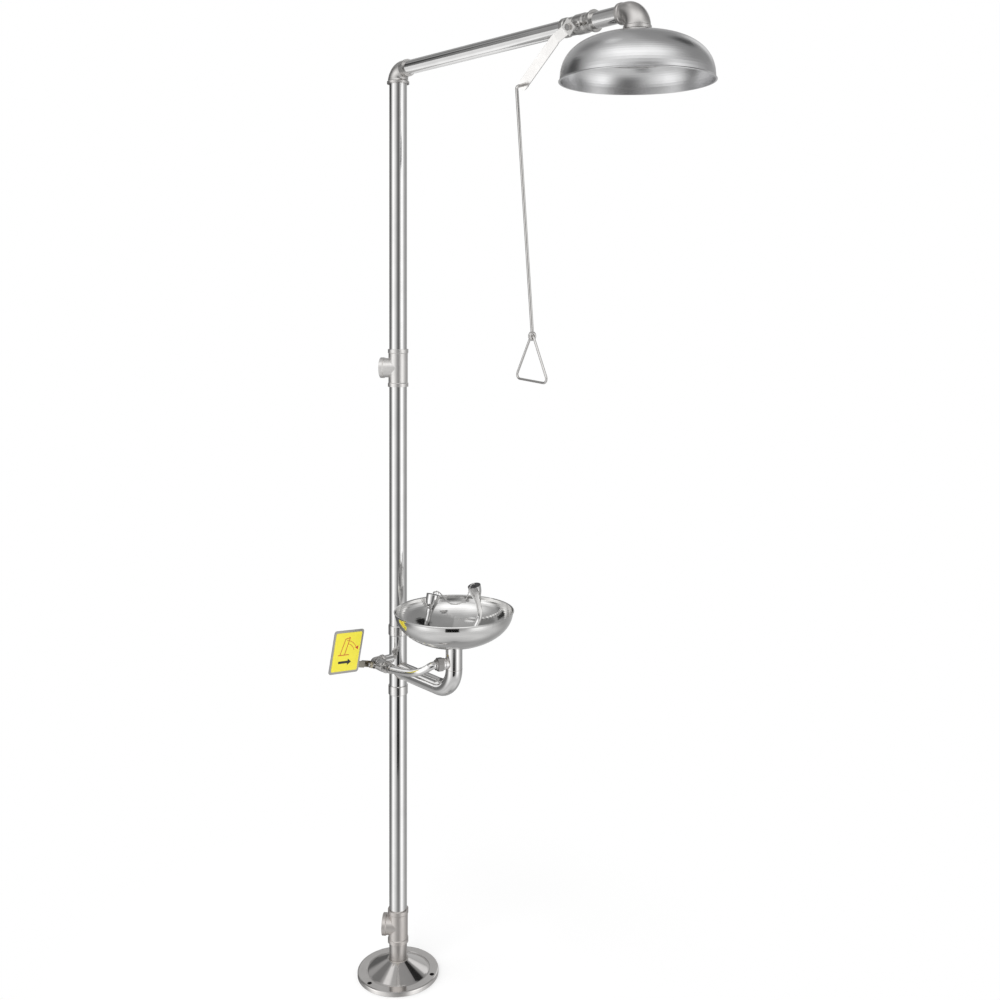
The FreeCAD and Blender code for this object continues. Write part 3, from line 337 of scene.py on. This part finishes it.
plate = steel("plate_brushed", base=(0.50, 0.49, 0.475), rough=0.24, axis=(0, -0.995, 0.1),
              bump=0.12, rough_var=0.14, bevel=0.25, **BRUSHED)
rod = steel("rod_drawn", base=(0.74, 0.725, 0.71), rough=0.20, grain="line", fine=2600,
            coarse=10, bump=0.05, rough_var=0.08)
wire = steel("wire_drawn", base=(0.76, 0.745, 0.73), rough=0.18, fine=1500, bump=0.03,
             rough_var=0.06)
chrome = steel("nozzle_chrome", base=(0.84, 0.835, 0.83), rough=0.06, grain="ring",
               centre=(RISER_X, 0, 0.95), fine=1800, bump=0.02, rough_var=0.03, smudge=0.03,
               bevel=0.3)
chain_bright = steel("chain_bright", base=(0.80, 0.79, 0.775), rough=0.14, fine=1500,
                     bump=0.02, rough_var=0.04)
disc = steel("disc_satin", base=(0.72, 0.71, 0.70), rough=0.28, grain="ring",
             centre=(DOME_X, 0, 2.08), fine=1800, bump=0.10, rough_var=0.12)
seal = plastic("seal_white", base=(0.86, 0.86, 0.84), rough=0.35)
cap_black = plastic("cap_black", base=(0.022, 0.022, 0.023), rough=0.34, fine=1400, bump=0.18,
                    tint=(0.035, 0.035, 0.036))
label = plastic("label_yellow", base=(0.99, 0.88, 0.055), rough=0.34, bump=0.04, coat=0.3,
                tint=(0.97, 0.85, 0.045), **LABEL)
ink_black = plastic("label_ink", base=(0.012, 0.012, 0.013), rough=0.38, bump=0.05, coat=0.2,
                    tint=(0.02, 0.02, 0.021), **LABEL)
ink_red = plastic("label_ink_red", base=(0.62, 0.03, 0.015), rough=0.36, bump=0.05, coat=0.2,
                  tint=(0.55, 0.025, 0.012), **LABEL)
weld = steel("weld_bead", base=(0.62, 0.59, 0.56), rough=0.32, fine=1200, bump=0.25,
             bump_mm=0.05, rough_var=0.15, smudge=0.2, dirt=0.6)
thread_cut = steel("thread_cut", base=(0.52, 0.505, 0.49), rough=0.30, fine=1600, bump=0.06,
                   rough_var=0.10, dirt=0.3)

HOLE_CIRCLE = 0.086      # radius on which the three flange holes lie
HOLE_ANGLES = [math.radians(33.0 + 120.0 * k) for k in range(3)]
darken_holes(base_machined, radius=0.00555,
             centres=[(HOLE_CIRCLE * math.cos(a), HOLE_CIRCLE * math.sin(a))
                      for a in HOLE_ANGLES])

# material, CAD nodes that wear it
LOOKS = (
    (pipe_upright, "lower_column_pipe branch_section middle_column_pipe upper_column_pipe "
                   "shower_head_nipple inner_supply_tube"),
    (pipe_arm, "shower_arm_pipe shower_outlet_nipple"),
    (pipe_bent, "waste_pipe feed_pipe nozzle_arms"),
    (sleeve, "column_sleeves blanking_disc feed_boss"),
    (nipple, "base_nipple"),
    (elbow, "top_elbow shower_elbow supply_elbow nozzle_tee"),
    (cast, "inlet_tee dome_collar"),
    (cast_warm, "drain_tee"),
    (base_machined, "base_flange"),
    (shower_valve, "shower_valve_body shower_valve_end"),
    (eyewash_valve, "eyewash_valve_body eyewash_valve_end"),
    (nut_machined, "union_nut"),
    (nut, "gland_nuts feed_tube_nut shower_stem_nut rod_nut dome_locknut plate_rivets "
          "deflector_screws"),
    (nut_warm, "eyewash_stem_nut"),
    (shower_stem, "shower_stem"),
    (eyewash_stem, "eyewash_stem"),
    (ball_mirror, "shower_ball eyewash_ball"),
    (dome_spun, "shower_dome"),
    (bowl_spun, "bowl"),
    (strip, "shower_lever"),
    (hub, "lever_hub_plate"),
    (strap, "eyewash_handle_strap"),
    (plate, "push_plate"),
    (rod, "pull_rod"),
    (wire, "pull_handle"),
    (chrome, "nozzle_heads"),
    (chain_bright, "cap_chain cap_pins"),
    (disc, "deflector_bridge deflector_disc spray_plates bowl_strainer"),
    (seal, "valve_seats stem_packings"),
    (cap_black, "dust_caps"),
    (label, "push_plate_label"),
)
LOOK_OF = {name: material for material, names in LOOKS for name in names.split()}
for name, node in NODES.items():
    if not node.data.materials:
        node.data.materials.append(LOOK_OF[name])
    for material_slot in node.material_slots:
        material_slot.material = LOOK_OF[name]


# ------------------------------------------------------------------ mesh helpers
@contextmanager
def editing(mesh):
    bm = bmesh.new()
    bm.from_mesh(mesh)
    yield bm
    bm.to_mesh(mesh)
    bm.free()


def new_object(name, data):
    obj = bpy.data.objects.new(name, data)
    scene.collection.objects.link(obj)
    return obj


def piece(name, shape, material, body, smooth=True, sharp_angle=None):
    verts, faces = shape
    mesh = bpy.data.meshes.new(name)
    mesh.from_pydata([tuple(v) for v in verts], [], faces)
    mesh.validate()
    with editing(mesh) as bm:
        bmesh.ops.recalc_face_normals(bm, faces=bm.faces)
    for face in mesh.polygons:
        face.use_smooth = smooth
    if sharp_angle is not None:
        with editing(mesh) as bm:
            for edge in bm.edges:
                if (len(edge.link_faces) == 2
                        and edge.calc_face_angle(0.0) > math.radians(sharp_angle)):
                    edge.smooth = False
    obj = new_object(name, mesh)
    mesh.materials.append(material)
    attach(obj, body)
    return obj


def skin(rings, count, closed=False):
    """Quads between rings of `count` vertices each."""
    faces = []
    for i in range(rings if closed else rings - 1):
        first, second = i * count, (i + 1) % rings * count
        for k in range(count):
            after = (k + 1) % count
            faces.append((first + k, first + after, second + after, second + k))
    return faces


def tube(points, radii, seg=10, closed=False):
    """A round tube along the points, with a radius at each."""
    verts = []
    n = len(points)
    side = None
    for i, point in enumerate(points):
        before = points[(i - 1) % n] if closed or i > 0 else point
        after = points[(i + 1) % n] if closed or i < n - 1 else point
        along = (after - before).normalized()
        if side is None:
            side = along.orthogonal().normalized()
        else:
            side = (side - along * side.dot(along)).normalized()
        cross = along.cross(side)
        for k in range(seg):
            a = 2 * math.pi * k / seg
            verts.append(point + (side * math.cos(a) + cross * math.sin(a)) * radii[i])
    faces = skin(n, seg, closed)
    if not closed:
        faces.append(tuple(reversed(range(seg))))
        faces.append(tuple((n - 1) * seg + k for k in range(seg)))
    return verts, faces


def ball(centre, radius, seg=14, rings=8):
    verts, faces = [centre + Vector((0, 0, radius))], []
    for i in range(1, rings):
        polar = math.pi * i / rings
        for k in range(seg):
            a = 2 * math.pi * k / seg
            verts.append(centre + Vector((radius * math.sin(polar) * math.cos(a),
                                          radius * math.sin(polar) * math.sin(a),
                                          radius * math.cos(polar))))
    verts.append(centre - Vector((0, 0, radius)))
    for k in range(seg):
        faces.append((0, 1 + k, 1 + (k + 1) % seg))
    for i in range(rings - 2):
        for k in range(seg):
            a, b = 1 + i * seg + k, 1 + i * seg + (k + 1) % seg
            faces.append((a, a + seg, b + seg, b))
    last = len(verts) - 1
    lowest = 1 + (rings - 2) * seg
    for k in range(seg):
        faces.append((last, lowest + (k + 1) % seg, lowest + k))
    return verts, faces


def merged(shapes):
    verts, faces = [], []
    for part_verts, part_faces in shapes:
        start = len(verts)
        verts.extend(part_verts)
        faces.extend(tuple(start + i for i in face) for face in part_faces)
    return verts, faces


# ------------------------------------------------------------------ ball chain
# points (x, y, z) in mm that the chain hangs through, from the +Y dust cap to the -Y one
SAG = [Vector(point) * MM for point in (
    (217.4, 54.2, 968.6), (218.8, 48.6, 967.9), (220.2, 43.4, 963.8), (220.3, 39.8, 955.0),
    (219.4, 36.4, 944.5), (218.2, 29.0, 935.0), (217.0, 14.5, 930.6), (216.2, 0.0, 931.4),
    (216.0, -14.0, 937.0), (216.0, -27.0, 949.5), (216.0, -36.0, 959.6),
    (216.0, -43.5, 966.0), (216.0, -49.5, 968.9), (216.0, -54.0, 968.8))]
BALL_RADIUS = 0.0017
BALL_PITCH = 0.0044      # nearly: a whole number of balls fills the curve
LINK_RADIUS = 0.0005
CURVE_STEPS = 600


def sag_point(t):
    """Catmull-Rom curve through the hanging points, t from 0 to 1."""
    spans = len(SAG) - 1
    f = t * spans
    k = min(int(f), spans - 1)
    f -= k
    p1, p2 = SAG[k], SAG[k + 1]
    p0 = SAG[k - 1] if k else p1 * 2 - p2
    p3 = SAG[k + 2] if k + 2 <= spans else p2 * 2 - p1
    return (p1 * 2 + (p2 - p0) * f + (p0 * 2 - p1 * 5 + p2 * 4 - p3) * f * f
            + (p1 * 3 - p0 - p2 * 3 + p3) * f ** 3) * 0.5


def chain_centres():
    """Ball centres at even distances along the curve."""
    curve = [sag_point(i / CURVE_STEPS) for i in range(CURVE_STEPS + 1)]
    spans = list(zip(curve, curve[1:]))
    length = sum((b - a).length for a, b in spans)
    count = int(round(length / BALL_PITCH))
    wanted, walked, centres = 0.0, 0.0, []
    for a, b in spans:
        span = (b - a).length
        while wanted <= walked + span + 1e-12 and len(centres) <= count:
            centres.append(a.lerp(b, (wanted - walked) / span))
            wanted += length / count
        walked += span
    return centres


centres = chain_centres()
chain = piece("ball_chain",
              merged([ball(centre, BALL_RADIUS) for centre in centres]
                     + [tube([a, b], [LINK_RADIUS] * 2, 8) for a, b in zip(centres, centres[1:])]),
              chain_bright, "nozzle_caps")
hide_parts("cap_chain")


# ------------------------------------------------------------------ weld beads
WELD_STEPS = 220


def circle(centre, axis, radius):
    _, side, cross = basis(axis)
    centre = Vector(centre)
    return lambda a: centre + (side * math.cos(a) + cross * math.sin(a)) * radius


def saddle(x, z, azimuth, pipe_radius, seam_radius):
    """Seam where a level tube pointing at the azimuth meets an upright pipe at (x, 0)."""
    out_x, out_y = math.cos(math.radians(azimuth)), math.sin(math.radians(azimuth))

    def point(a):
        side, rise = seam_radius * math.cos(a), seam_radius * math.sin(a)
        out = math.sqrt(pipe_radius ** 2 - side ** 2)
        return (x + out_x * out - out_y * side, out_y * out + out_x * side, z + rise)
    return point


def hashed(i, j):
    """A fixed hash in 0..1."""
    value = math.sin(i * 12.9898 + j * 78.233) * 43758.5453
    return value - math.floor(value)


def weld_bead(name, path, radius, pitch):
    """A rippled tube laid on a closed seam."""
    points = [Vector(path(2 * math.pi * i / WELD_STEPS)) for i in range(WELD_STEPS)]
    total = sum((points[(i + 1) % WELD_STEPS] - points[i]).length for i in range(WELD_STEPS))
    waves = int(total / pitch)
    radii = [radius * (0.86 + 0.16 * abs(math.sin(math.pi * waves * i / WELD_STEPS))
                       + 0.08 * hashed(i // 4, WELD_STEPS)) for i in range(WELD_STEPS)]
    piece(name, tube(points, radii, closed=True), weld, "frame")


# name, seam, bead radius, ripple pitch
for bead in (
    ("weld_base_foot", circle((0, 0, 0.0371), Z, 0.0217), 0.0017, 0.0016),
    ("weld_waste_column", saddle(0, WASTE_Z, 0, COLUMN_RADIUS, 0.0190), 0.0012, 0.0016),
    ("weld_stub_column", saddle(0, STUB_Z, -90, COLUMN_RADIUS, 0.0096), 0.0010, 0.0016),
    ("weld_bend_low", circle((RISER_X - BEND_RADIUS, 0, WASTE_Z), X, 0.0188), 0.00042, 0.0022),
    ("weld_bend_high", circle((RISER_X, 0, WASTE_Z + BEND_RADIUS), Z, 0.0188), 0.00042, 0.0022),
    ("weld_feed_boss", saddle(RISER_X, 0.7995, 253, RISER_RADIUS, 0.0122), 0.0009, 0.0016),
    ("weld_bowl_riser", circle((RISER_X, 0, 0.8383), Z, 0.0192), 0.0009, 0.0016),
):
    weld_bead(*bead)


# ------------------------------------------------------------------ female threads
THREAD_PITCH, THREAD_TURNS, THREAD_SEG = 0.00231, 4.6, 96
THREAD_RADIUS = 0.01962
THREAD_DEPTH = 0.0009
THREAD_HALF_WIDTH = 0.00085
THREAD_INSET = 0.0022    # first turn behind the port face
RUN_OUT = 30.0           # steps over which each end fades


def thread(name, height, port_reach, azimuth):
    """Triangular helix inside a level port whose face is `port_reach` from the column axis."""
    azimuth = math.radians(azimuth)
    along, side, cross = basis((math.cos(azimuth), math.sin(azimuth), 0))
    centre = Vector((0, 0, height))
    total = int(THREAD_TURNS * THREAD_SEG)
    verts = []
    for i in range(total + 1):
        a = 2 * math.pi * i / THREAD_SEG
        out = side * math.cos(a) + cross * math.sin(a)
        h = port_reach - THREAD_INSET - THREAD_PITCH * i / THREAD_SEG
        depth = THREAD_DEPTH * min(1.0, i / RUN_OUT, (total - i) / RUN_OUT + 0.02)
        for radius, shift in ((THREAD_RADIUS, THREAD_HALF_WIDTH), (THREAD_RADIUS - depth, 0.0),
                              (THREAD_RADIUS, -THREAD_HALF_WIDTH)):
            verts.append(centre + out * radius + along * (h + shift))
    faces = skin(total + 1, 3)
    faces.append((0, 1, 2))
    faces.append((total * 3 + 2, total * 3 + 1, total * 3))
    piece(name, (verts, faces), thread_cut, "frame", sharp_angle=35)


thread("thread_inlet", height=1.4565, port_reach=0.0425, azimuth=219.0)
thread("thread_drain", height=0.1165, port_reach=0.0365, azimuth=224.0)

# ------------------------------------------------------------------ print on the push plate
# Corners of the plate in mm, named as seen from +X.
BOTTOM_RIGHT = Vector((28.0, -137.8, 763.9))
BOTTOM_LEFT = Vector((28.0, -217.0, 771.9))
TOP_RIGHT = Vector((41.0, -127.7, 863.8))
plate_right = (BOTTOM_RIGHT - BOTTOM_LEFT).normalized()
plate_up = (TOP_RIGHT - BOTTOM_RIGHT).normalized()
plate_out = plate_right.cross(plate_up).normalized()
PLATE_CENTRE = BOTTOM_RIGHT - plate_right * 39.9 + plate_up * 50.5 + plate_out * 4.6
PRINT_BOTTOM = 0.40      # mm above the plate centre
BAR_WIDTH = 1.7
ARC_CENTRE = (-5, -6)
ARC_WIDTH = 1.1
ARC_STEPS = 16


def printed(name, outline, top, material=ink_red):
    """A flat raised shape. Outline: (right, up) in mm from the plate centre."""
    n = len(outline)
    verts = [(PLATE_CENTRE + plate_right * a + plate_up * b + plate_out * h) * MM
             for h in (PRINT_BOTTOM, top) for a, b in outline]
    faces = [tuple(range(n - 1, -1, -1)), tuple(range(n, 2 * n))]
    faces += [(i, (i + 1) % n, n + (i + 1) % n, n + i) for i in range(n)]
    piece(name, (verts, faces), material, "eyewash_lever", smooth=False)


def printed_bar(name, start, end, top):
    start, end = Vector(start), Vector(end)
    d = (end - start).normalized() * BAR_WIDTH / 2
    q = Vector((d.y, -d.x))
    corners = (start - d + q, start - d - q, end + d - q, end + d + q)
    printed(name, [tuple(corner) for corner in corners], top)


def printed_arc(name, radius, start, end, top):
    angles = [math.radians(start + (end - start) * i / ARC_STEPS) for i in range(ARC_STEPS + 1)]
    x, y = ARC_CENTRE
    inner = radius - ARC_WIDTH
    outline = [(x + radius * math.cos(a), y + radius * math.sin(a)) for a in angles]
    outline += [(x + inner * math.cos(a), y + inner * math.sin(a)) for a in reversed(angles)]
    printed(name, outline, top)


# A flap on its foot with two swing arcs, and a plain arrow below. The tops differ a little
# so that bars which cross have no faces in one plane.
printed_bar("mark_flap_left", (-17, -6), (-8, 30), top=0.52)
printed_bar("mark_flap_right", (-5, -6), (4, 33), top=0.53)
printed_bar("mark_flap_top", (-8, 30), (4, 33), top=0.54)
printed_bar("mark_foot", (-22, -7), (6, -7), top=0.55)
printed_arc("mark_arc_0", radius=33.0, start=88, end=22, top=0.51)
printed_arc("mark_arc_1", radius=26.0, start=78, end=20, top=0.52)
printed("mark_head", [(29.5, 3.0), (21.5, 8.5), (29.5, 12.5)], top=0.56)
printed("mark_arrow", [(16, -24.0), (6, -16.5), (6, -21.2), (-19, -21.2), (-19, -26.8),
                       (6, -26.8), (6, -31.5)], top=0.52, material=ink_black)

# ------------------------------------------------------------------ split ring, -Y nozzle
RING_CENTRE = (0.2186, -0.0500, 0.9650)
RING_RADIUS, RING_WIRE = 0.0036, 0.00042
RING_SHIFT = 0.0009      # sideways travel of one turn
RING_STEPS = 120         # over two turns

coil = []
for i in range(RING_STEPS + 1):
    a = 4 * math.pi * i / RING_STEPS
    coil.append(Vector((RING_CENTRE[0] + RING_SHIFT * (i / (RING_STEPS / 2) - 1.0),
                        RING_CENTRE[1] + RING_RADIUS * math.sin(a),
                        RING_CENTRE[2] + RING_RADIUS * math.cos(a))))
piece("split_ring", tube(coil, [RING_WIRE] * len(coil), 8), chain_bright,
      "nozzle_caps")


# ------------------------------------------------------------------ floor
def floor_material():
    """White, a little shaded round the foot, with a painted shadow in black under the flange."""
    material, g = new_material("floor_pale")
    distance = g.vector_math("LENGTH", g.coords())
    shaded = g.step(distance, start=0.25, end=0.9, before=0.55, after=0.0)
    pale = g.mix_shader(shaded, g.shader("Emission", 1, strength=1.0),
                        g.shader("BsdfDiffuse", 0.93))
    # painted shadow: the floor under the flange is black, the shade that shows through the flange
    # holes
    painted_flange_shadow = g.math("LESS_THAN", distance, 0.0945)
    g.output(g.mix_shader(painted_flange_shadow, pale, g.shader("BsdfDiffuse", 0.012)))
    return material


floor_mesh = bpy.data.meshes.new("floor")
with editing(floor_mesh) as bm:
    bmesh.ops.create_circle(bm, cap_ends=True, radius=30.0, segments=96)
floor = new_object("floor", floor_mesh)
floor.location = (0, 0, -0.0005)
floor_mesh.materials.append(floor_material())
floor.visible_glossy = False

# ------------------------------------------------------------------ world
CAMERA_AZIMUTH = -40.8   # direction from the product to the camera, degrees
# Brightness near the horizon: (degrees from the camera direction, positive to the right
# as the camera sees it, brightness)
HORIZON = (
    (-180, .10), (-150, .12), (-125, .13), (-118, .20), (-105, .17), (-97, .25), (-90, .47),
    (-82, .75), (-75, 1.04), (-66, 1.25), (-60, 1.35), (-52, 1.2), (-45, 1.03), (-35, .90),
    (-25, .66), (-15, .45), (-5, .24), (5, .14), (12, .13), (15, .16), (25, .33), (30, .55),
    (35, .80), (42, 1.2), (50, 1.35), (60, 1.25), (68, 1.0), (75, .82), (90, .55),
    (112, .33), (140, .40), (165, .5))
# (elevation in degrees, brightness) of the high softbox, the ceiling and the floor side
SOFTBOX = ((10, .10), (20, .34), (30, .74), (40, .98), (50, .72), (62, .36), (76, .06), (90, 0.0))
CEILING = ((-2, .36), (25, .34), (60, .38), (90, .46))
BELOW = ((-90, .45), (-75, .60), (-60, .70), (-48, .62), (-36, .70), (-24, .60), (-8, .40))
# Elliptic spots: azimuth, elevation, half width, half height (degrees), softness, brightness
SPOTS = ((180, 26, 30, 10, 1.6, 0.44), (150, 25, 10, 14, 1.3, 0.80),
         (126, 50, 15, 10, 1.3, 0.012), (-128, 48, 17, 13, 1.25, 0.20),
         (-112, 70, 20, 6.5, 1.3, 0.85))


def reflected_sky(g):
    """The studio as mirror-like surfaces see it."""
    direction = g.coords("Generated")
    x, y, z = g.fill(g.node("ShaderNodeSeparateXYZ"), direction).outputs
    from_camera = g.add(g.math("ARCTAN2", y, x), math.radians(-CAMERA_AZIMUTH))
    turn = g.math("FRACT", g.add(g.div(from_camera, 2 * math.pi), 1.5))   # 0.5: to the camera
    azimuth = g.sub(g.mul(turn, 360.0), 180.0)
    sine = g.math("MINIMUM", g.math("MAXIMUM", z, -1.0), 1.0)
    elevation = g.math("DEGREES", g.math("ARCSINE", sine))
    level = g.div(g.add(elevation, 90), 180)

    def by_elevation(stops):
        return g.ramp(level, [((degrees + 90) / 180.0, grey) for degrees, grey in stops])

    def spot(at_azimuth, at_elevation, half_width, half_height, soft):
        across = g.math("ABSOLUTE", g.sub(azimuth, float(at_azimuth)))
        across = g.math("MINIMUM", across, g.sub(360.0, across))
        across = g.div(across, float(half_width))
        rise = g.div(g.sub(elevation, float(at_elevation)), float(half_height))
        distance = g.math("SQRT", g.add(g.mul(across, across), g.mul(rise, rise)))
        return g.step(distance, start=1.0 / soft, end=soft, before=1.0, after=0.0)

    horizon = g.ramp(turn, [((degrees + 180) / 360.0, grey) for degrees, grey in HORIZON])

    # softbox high above the camera side, a dim ceiling elsewhere
    off_front = g.math("ABSOLUTE", g.add(azimuth, 8.0))
    front = g.step(off_front, start=30, end=96, before=1.0, after=0.0)
    right = g.step(azimuth, start=20, end=62)
    softbox = by_elevation(SOFTBOX)
    upper = g.mix(g.mul(right, 0.45), by_elevation(CEILING), 0.16)
    upper = g.mix(1.0, upper, g.mix(front, 0.0, softbox), "ADD")
    for *place, brightness in SPOTS:
        upper = g.mix(spot(*place), upper, brightness)

    # pale below, dim towards the back
    back = g.step(g.math("ABSOLUTE", azimuth), start=95, end=150, after=0.6)
    lower = g.mix(back, by_elevation(BELOW), 0.17)

    # a dark flag on the left, a little above the horizon
    flag_across = g.step(g.math("ABSOLUTE", g.add(azimuth, 116.0)),
                         start=10, end=15, before=1.0, after=0.0)
    flag_rise = g.step(g.math("ABSOLUTE", g.sub(elevation, 19.0)),
                       start=8, end=12, before=1.0, after=0.0)

    sky = g.mix(g.step(elevation, start=9, end=24), horizon, upper)
    sky = g.mix(g.step(elevation, start=-46, end=-20, before=1.0, after=0.0), sky, lower)
    return g.mix(g.mul(g.mul(flag_across, flag_rise), 0.9), sky, 0.01)


world = bpy.data.worlds.new("studio")
scene.world = world
world.use_nodes = True
g = Graph(world.node_tree)
rays = g.node("ShaderNodeLightPath").outputs
lit = g.mix_shader(rays["Is Glossy Ray"], g.shader("Background", 1, strength=0.85),
                   g.shader("Background", reflected_sky(g), strength=1.0))
g.output(g.mix_shader(rays["Is Camera Ray"], lit, g.shader("Background", 1, strength=1.0)),
         kind="World")


# ------------------------------------------------------------------ lights and cards
def aim(obj, target, track="-Z"):
    direction = Vector(target) - Vector(obj.location)
    obj.rotation_euler = direction.to_track_quat(track, "Y").to_euler()


def area_light(name, location, target, size, power, receivers=()):
    """With receivers, a bounce card that lights only those nodes and shows in them."""
    light = bpy.data.lights.new(name, "AREA")
    light.shape = "RECTANGLE"
    light.size, light.size_y = size
    light.energy = power
    obj = new_object(name, light)
    obj.location = location
    aim(obj, target)
    obj.visible_glossy = bool(receivers)
    if receivers:
        group = bpy.data.collections.new(name + "_receivers")
        for receiver in receivers:
            group.objects.link(NODES[receiver])
        obj.visible_camera = False
        obj.light_linking.receiver_collection = group


SIDE_CARD = dict(location=(-1.90, -0.35, 1.105), target=(0.4, -0.35, 1.105), size=(4.6, 2.12))
area_light("key", location=(1.2, -2.6, 3.6), target=(0.3, 0, 1.0), size=(2.4, 2.4), power=60)
area_light("fill", location=(-1.6, -2.2, 2.4), target=(0.3, 0, 1.0), size=(2.0, 2.6), power=25)
area_light("arm_card", power=20, **SIDE_CARD,
           receivers=("shower_arm_pipe", "shower_outlet_nipple", "lever_hub_plate"))
area_light("lever_card", power=30, **SIDE_CARD, receivers=("shower_lever",))
area_light("waste_card", location=(-1.4, -1.25, 1.25), target=(0.15, 0.0, 0.75),
           size=(2.4, 1.3), power=9, receivers=("waste_pipe", "feed_pipe"))

# a black card low on the camera side, seen only as a reflection
CARD_X, CARD_Y = 0.35, 0.26      # half sizes
card_mesh = bpy.data.meshes.new("black_card")
card_mesh.from_pydata([(-CARD_X, -CARD_Y, 0), (CARD_X, -CARD_Y, 0), (CARD_X, CARD_Y, 0),
                       (-CARD_X, CARD_Y, 0)], [], [(0, 1, 2, 3)])
flock, g = new_material("black_flock")
g.output(g.shader("BsdfDiffuse", g.mix(g.noise(g.coords(), scale=400.0), 0.006, 0.012)))
card_mesh.materials.append(flock)
card = new_object("black_card", card_mesh)
card.location = (1.33, -1.01, 0.085)
aim(card, (0.30, -0.06, 0.89), track="Z")
card.visible_camera = False
card.visible_diffuse = False
card.visible_shadow = False

# ------------------------------------------------------------------ camera
VIEW_DIRECTION = Vector((-0.7569, 0.6535, 0.0))    # level; the shift lowers the picture
camera = bpy.data.cameras.new("camera")
camera_object = new_object("camera", camera)
camera_object.location = (2.2569, -1.6247, 1.6337)
camera_object.rotation_mode = "QUATERNION"
camera_object.rotation_quaternion = VIEW_DIRECTION.to_track_quat("-Z", "Y")
camera.lens = 41.427
camera.sensor_width = 36.0
camera.shift_y = -0.2058
camera.clip_start, camera.clip_end = 0.01, 100
scene.camera = camera_object

bpy.context.view_layer.update()
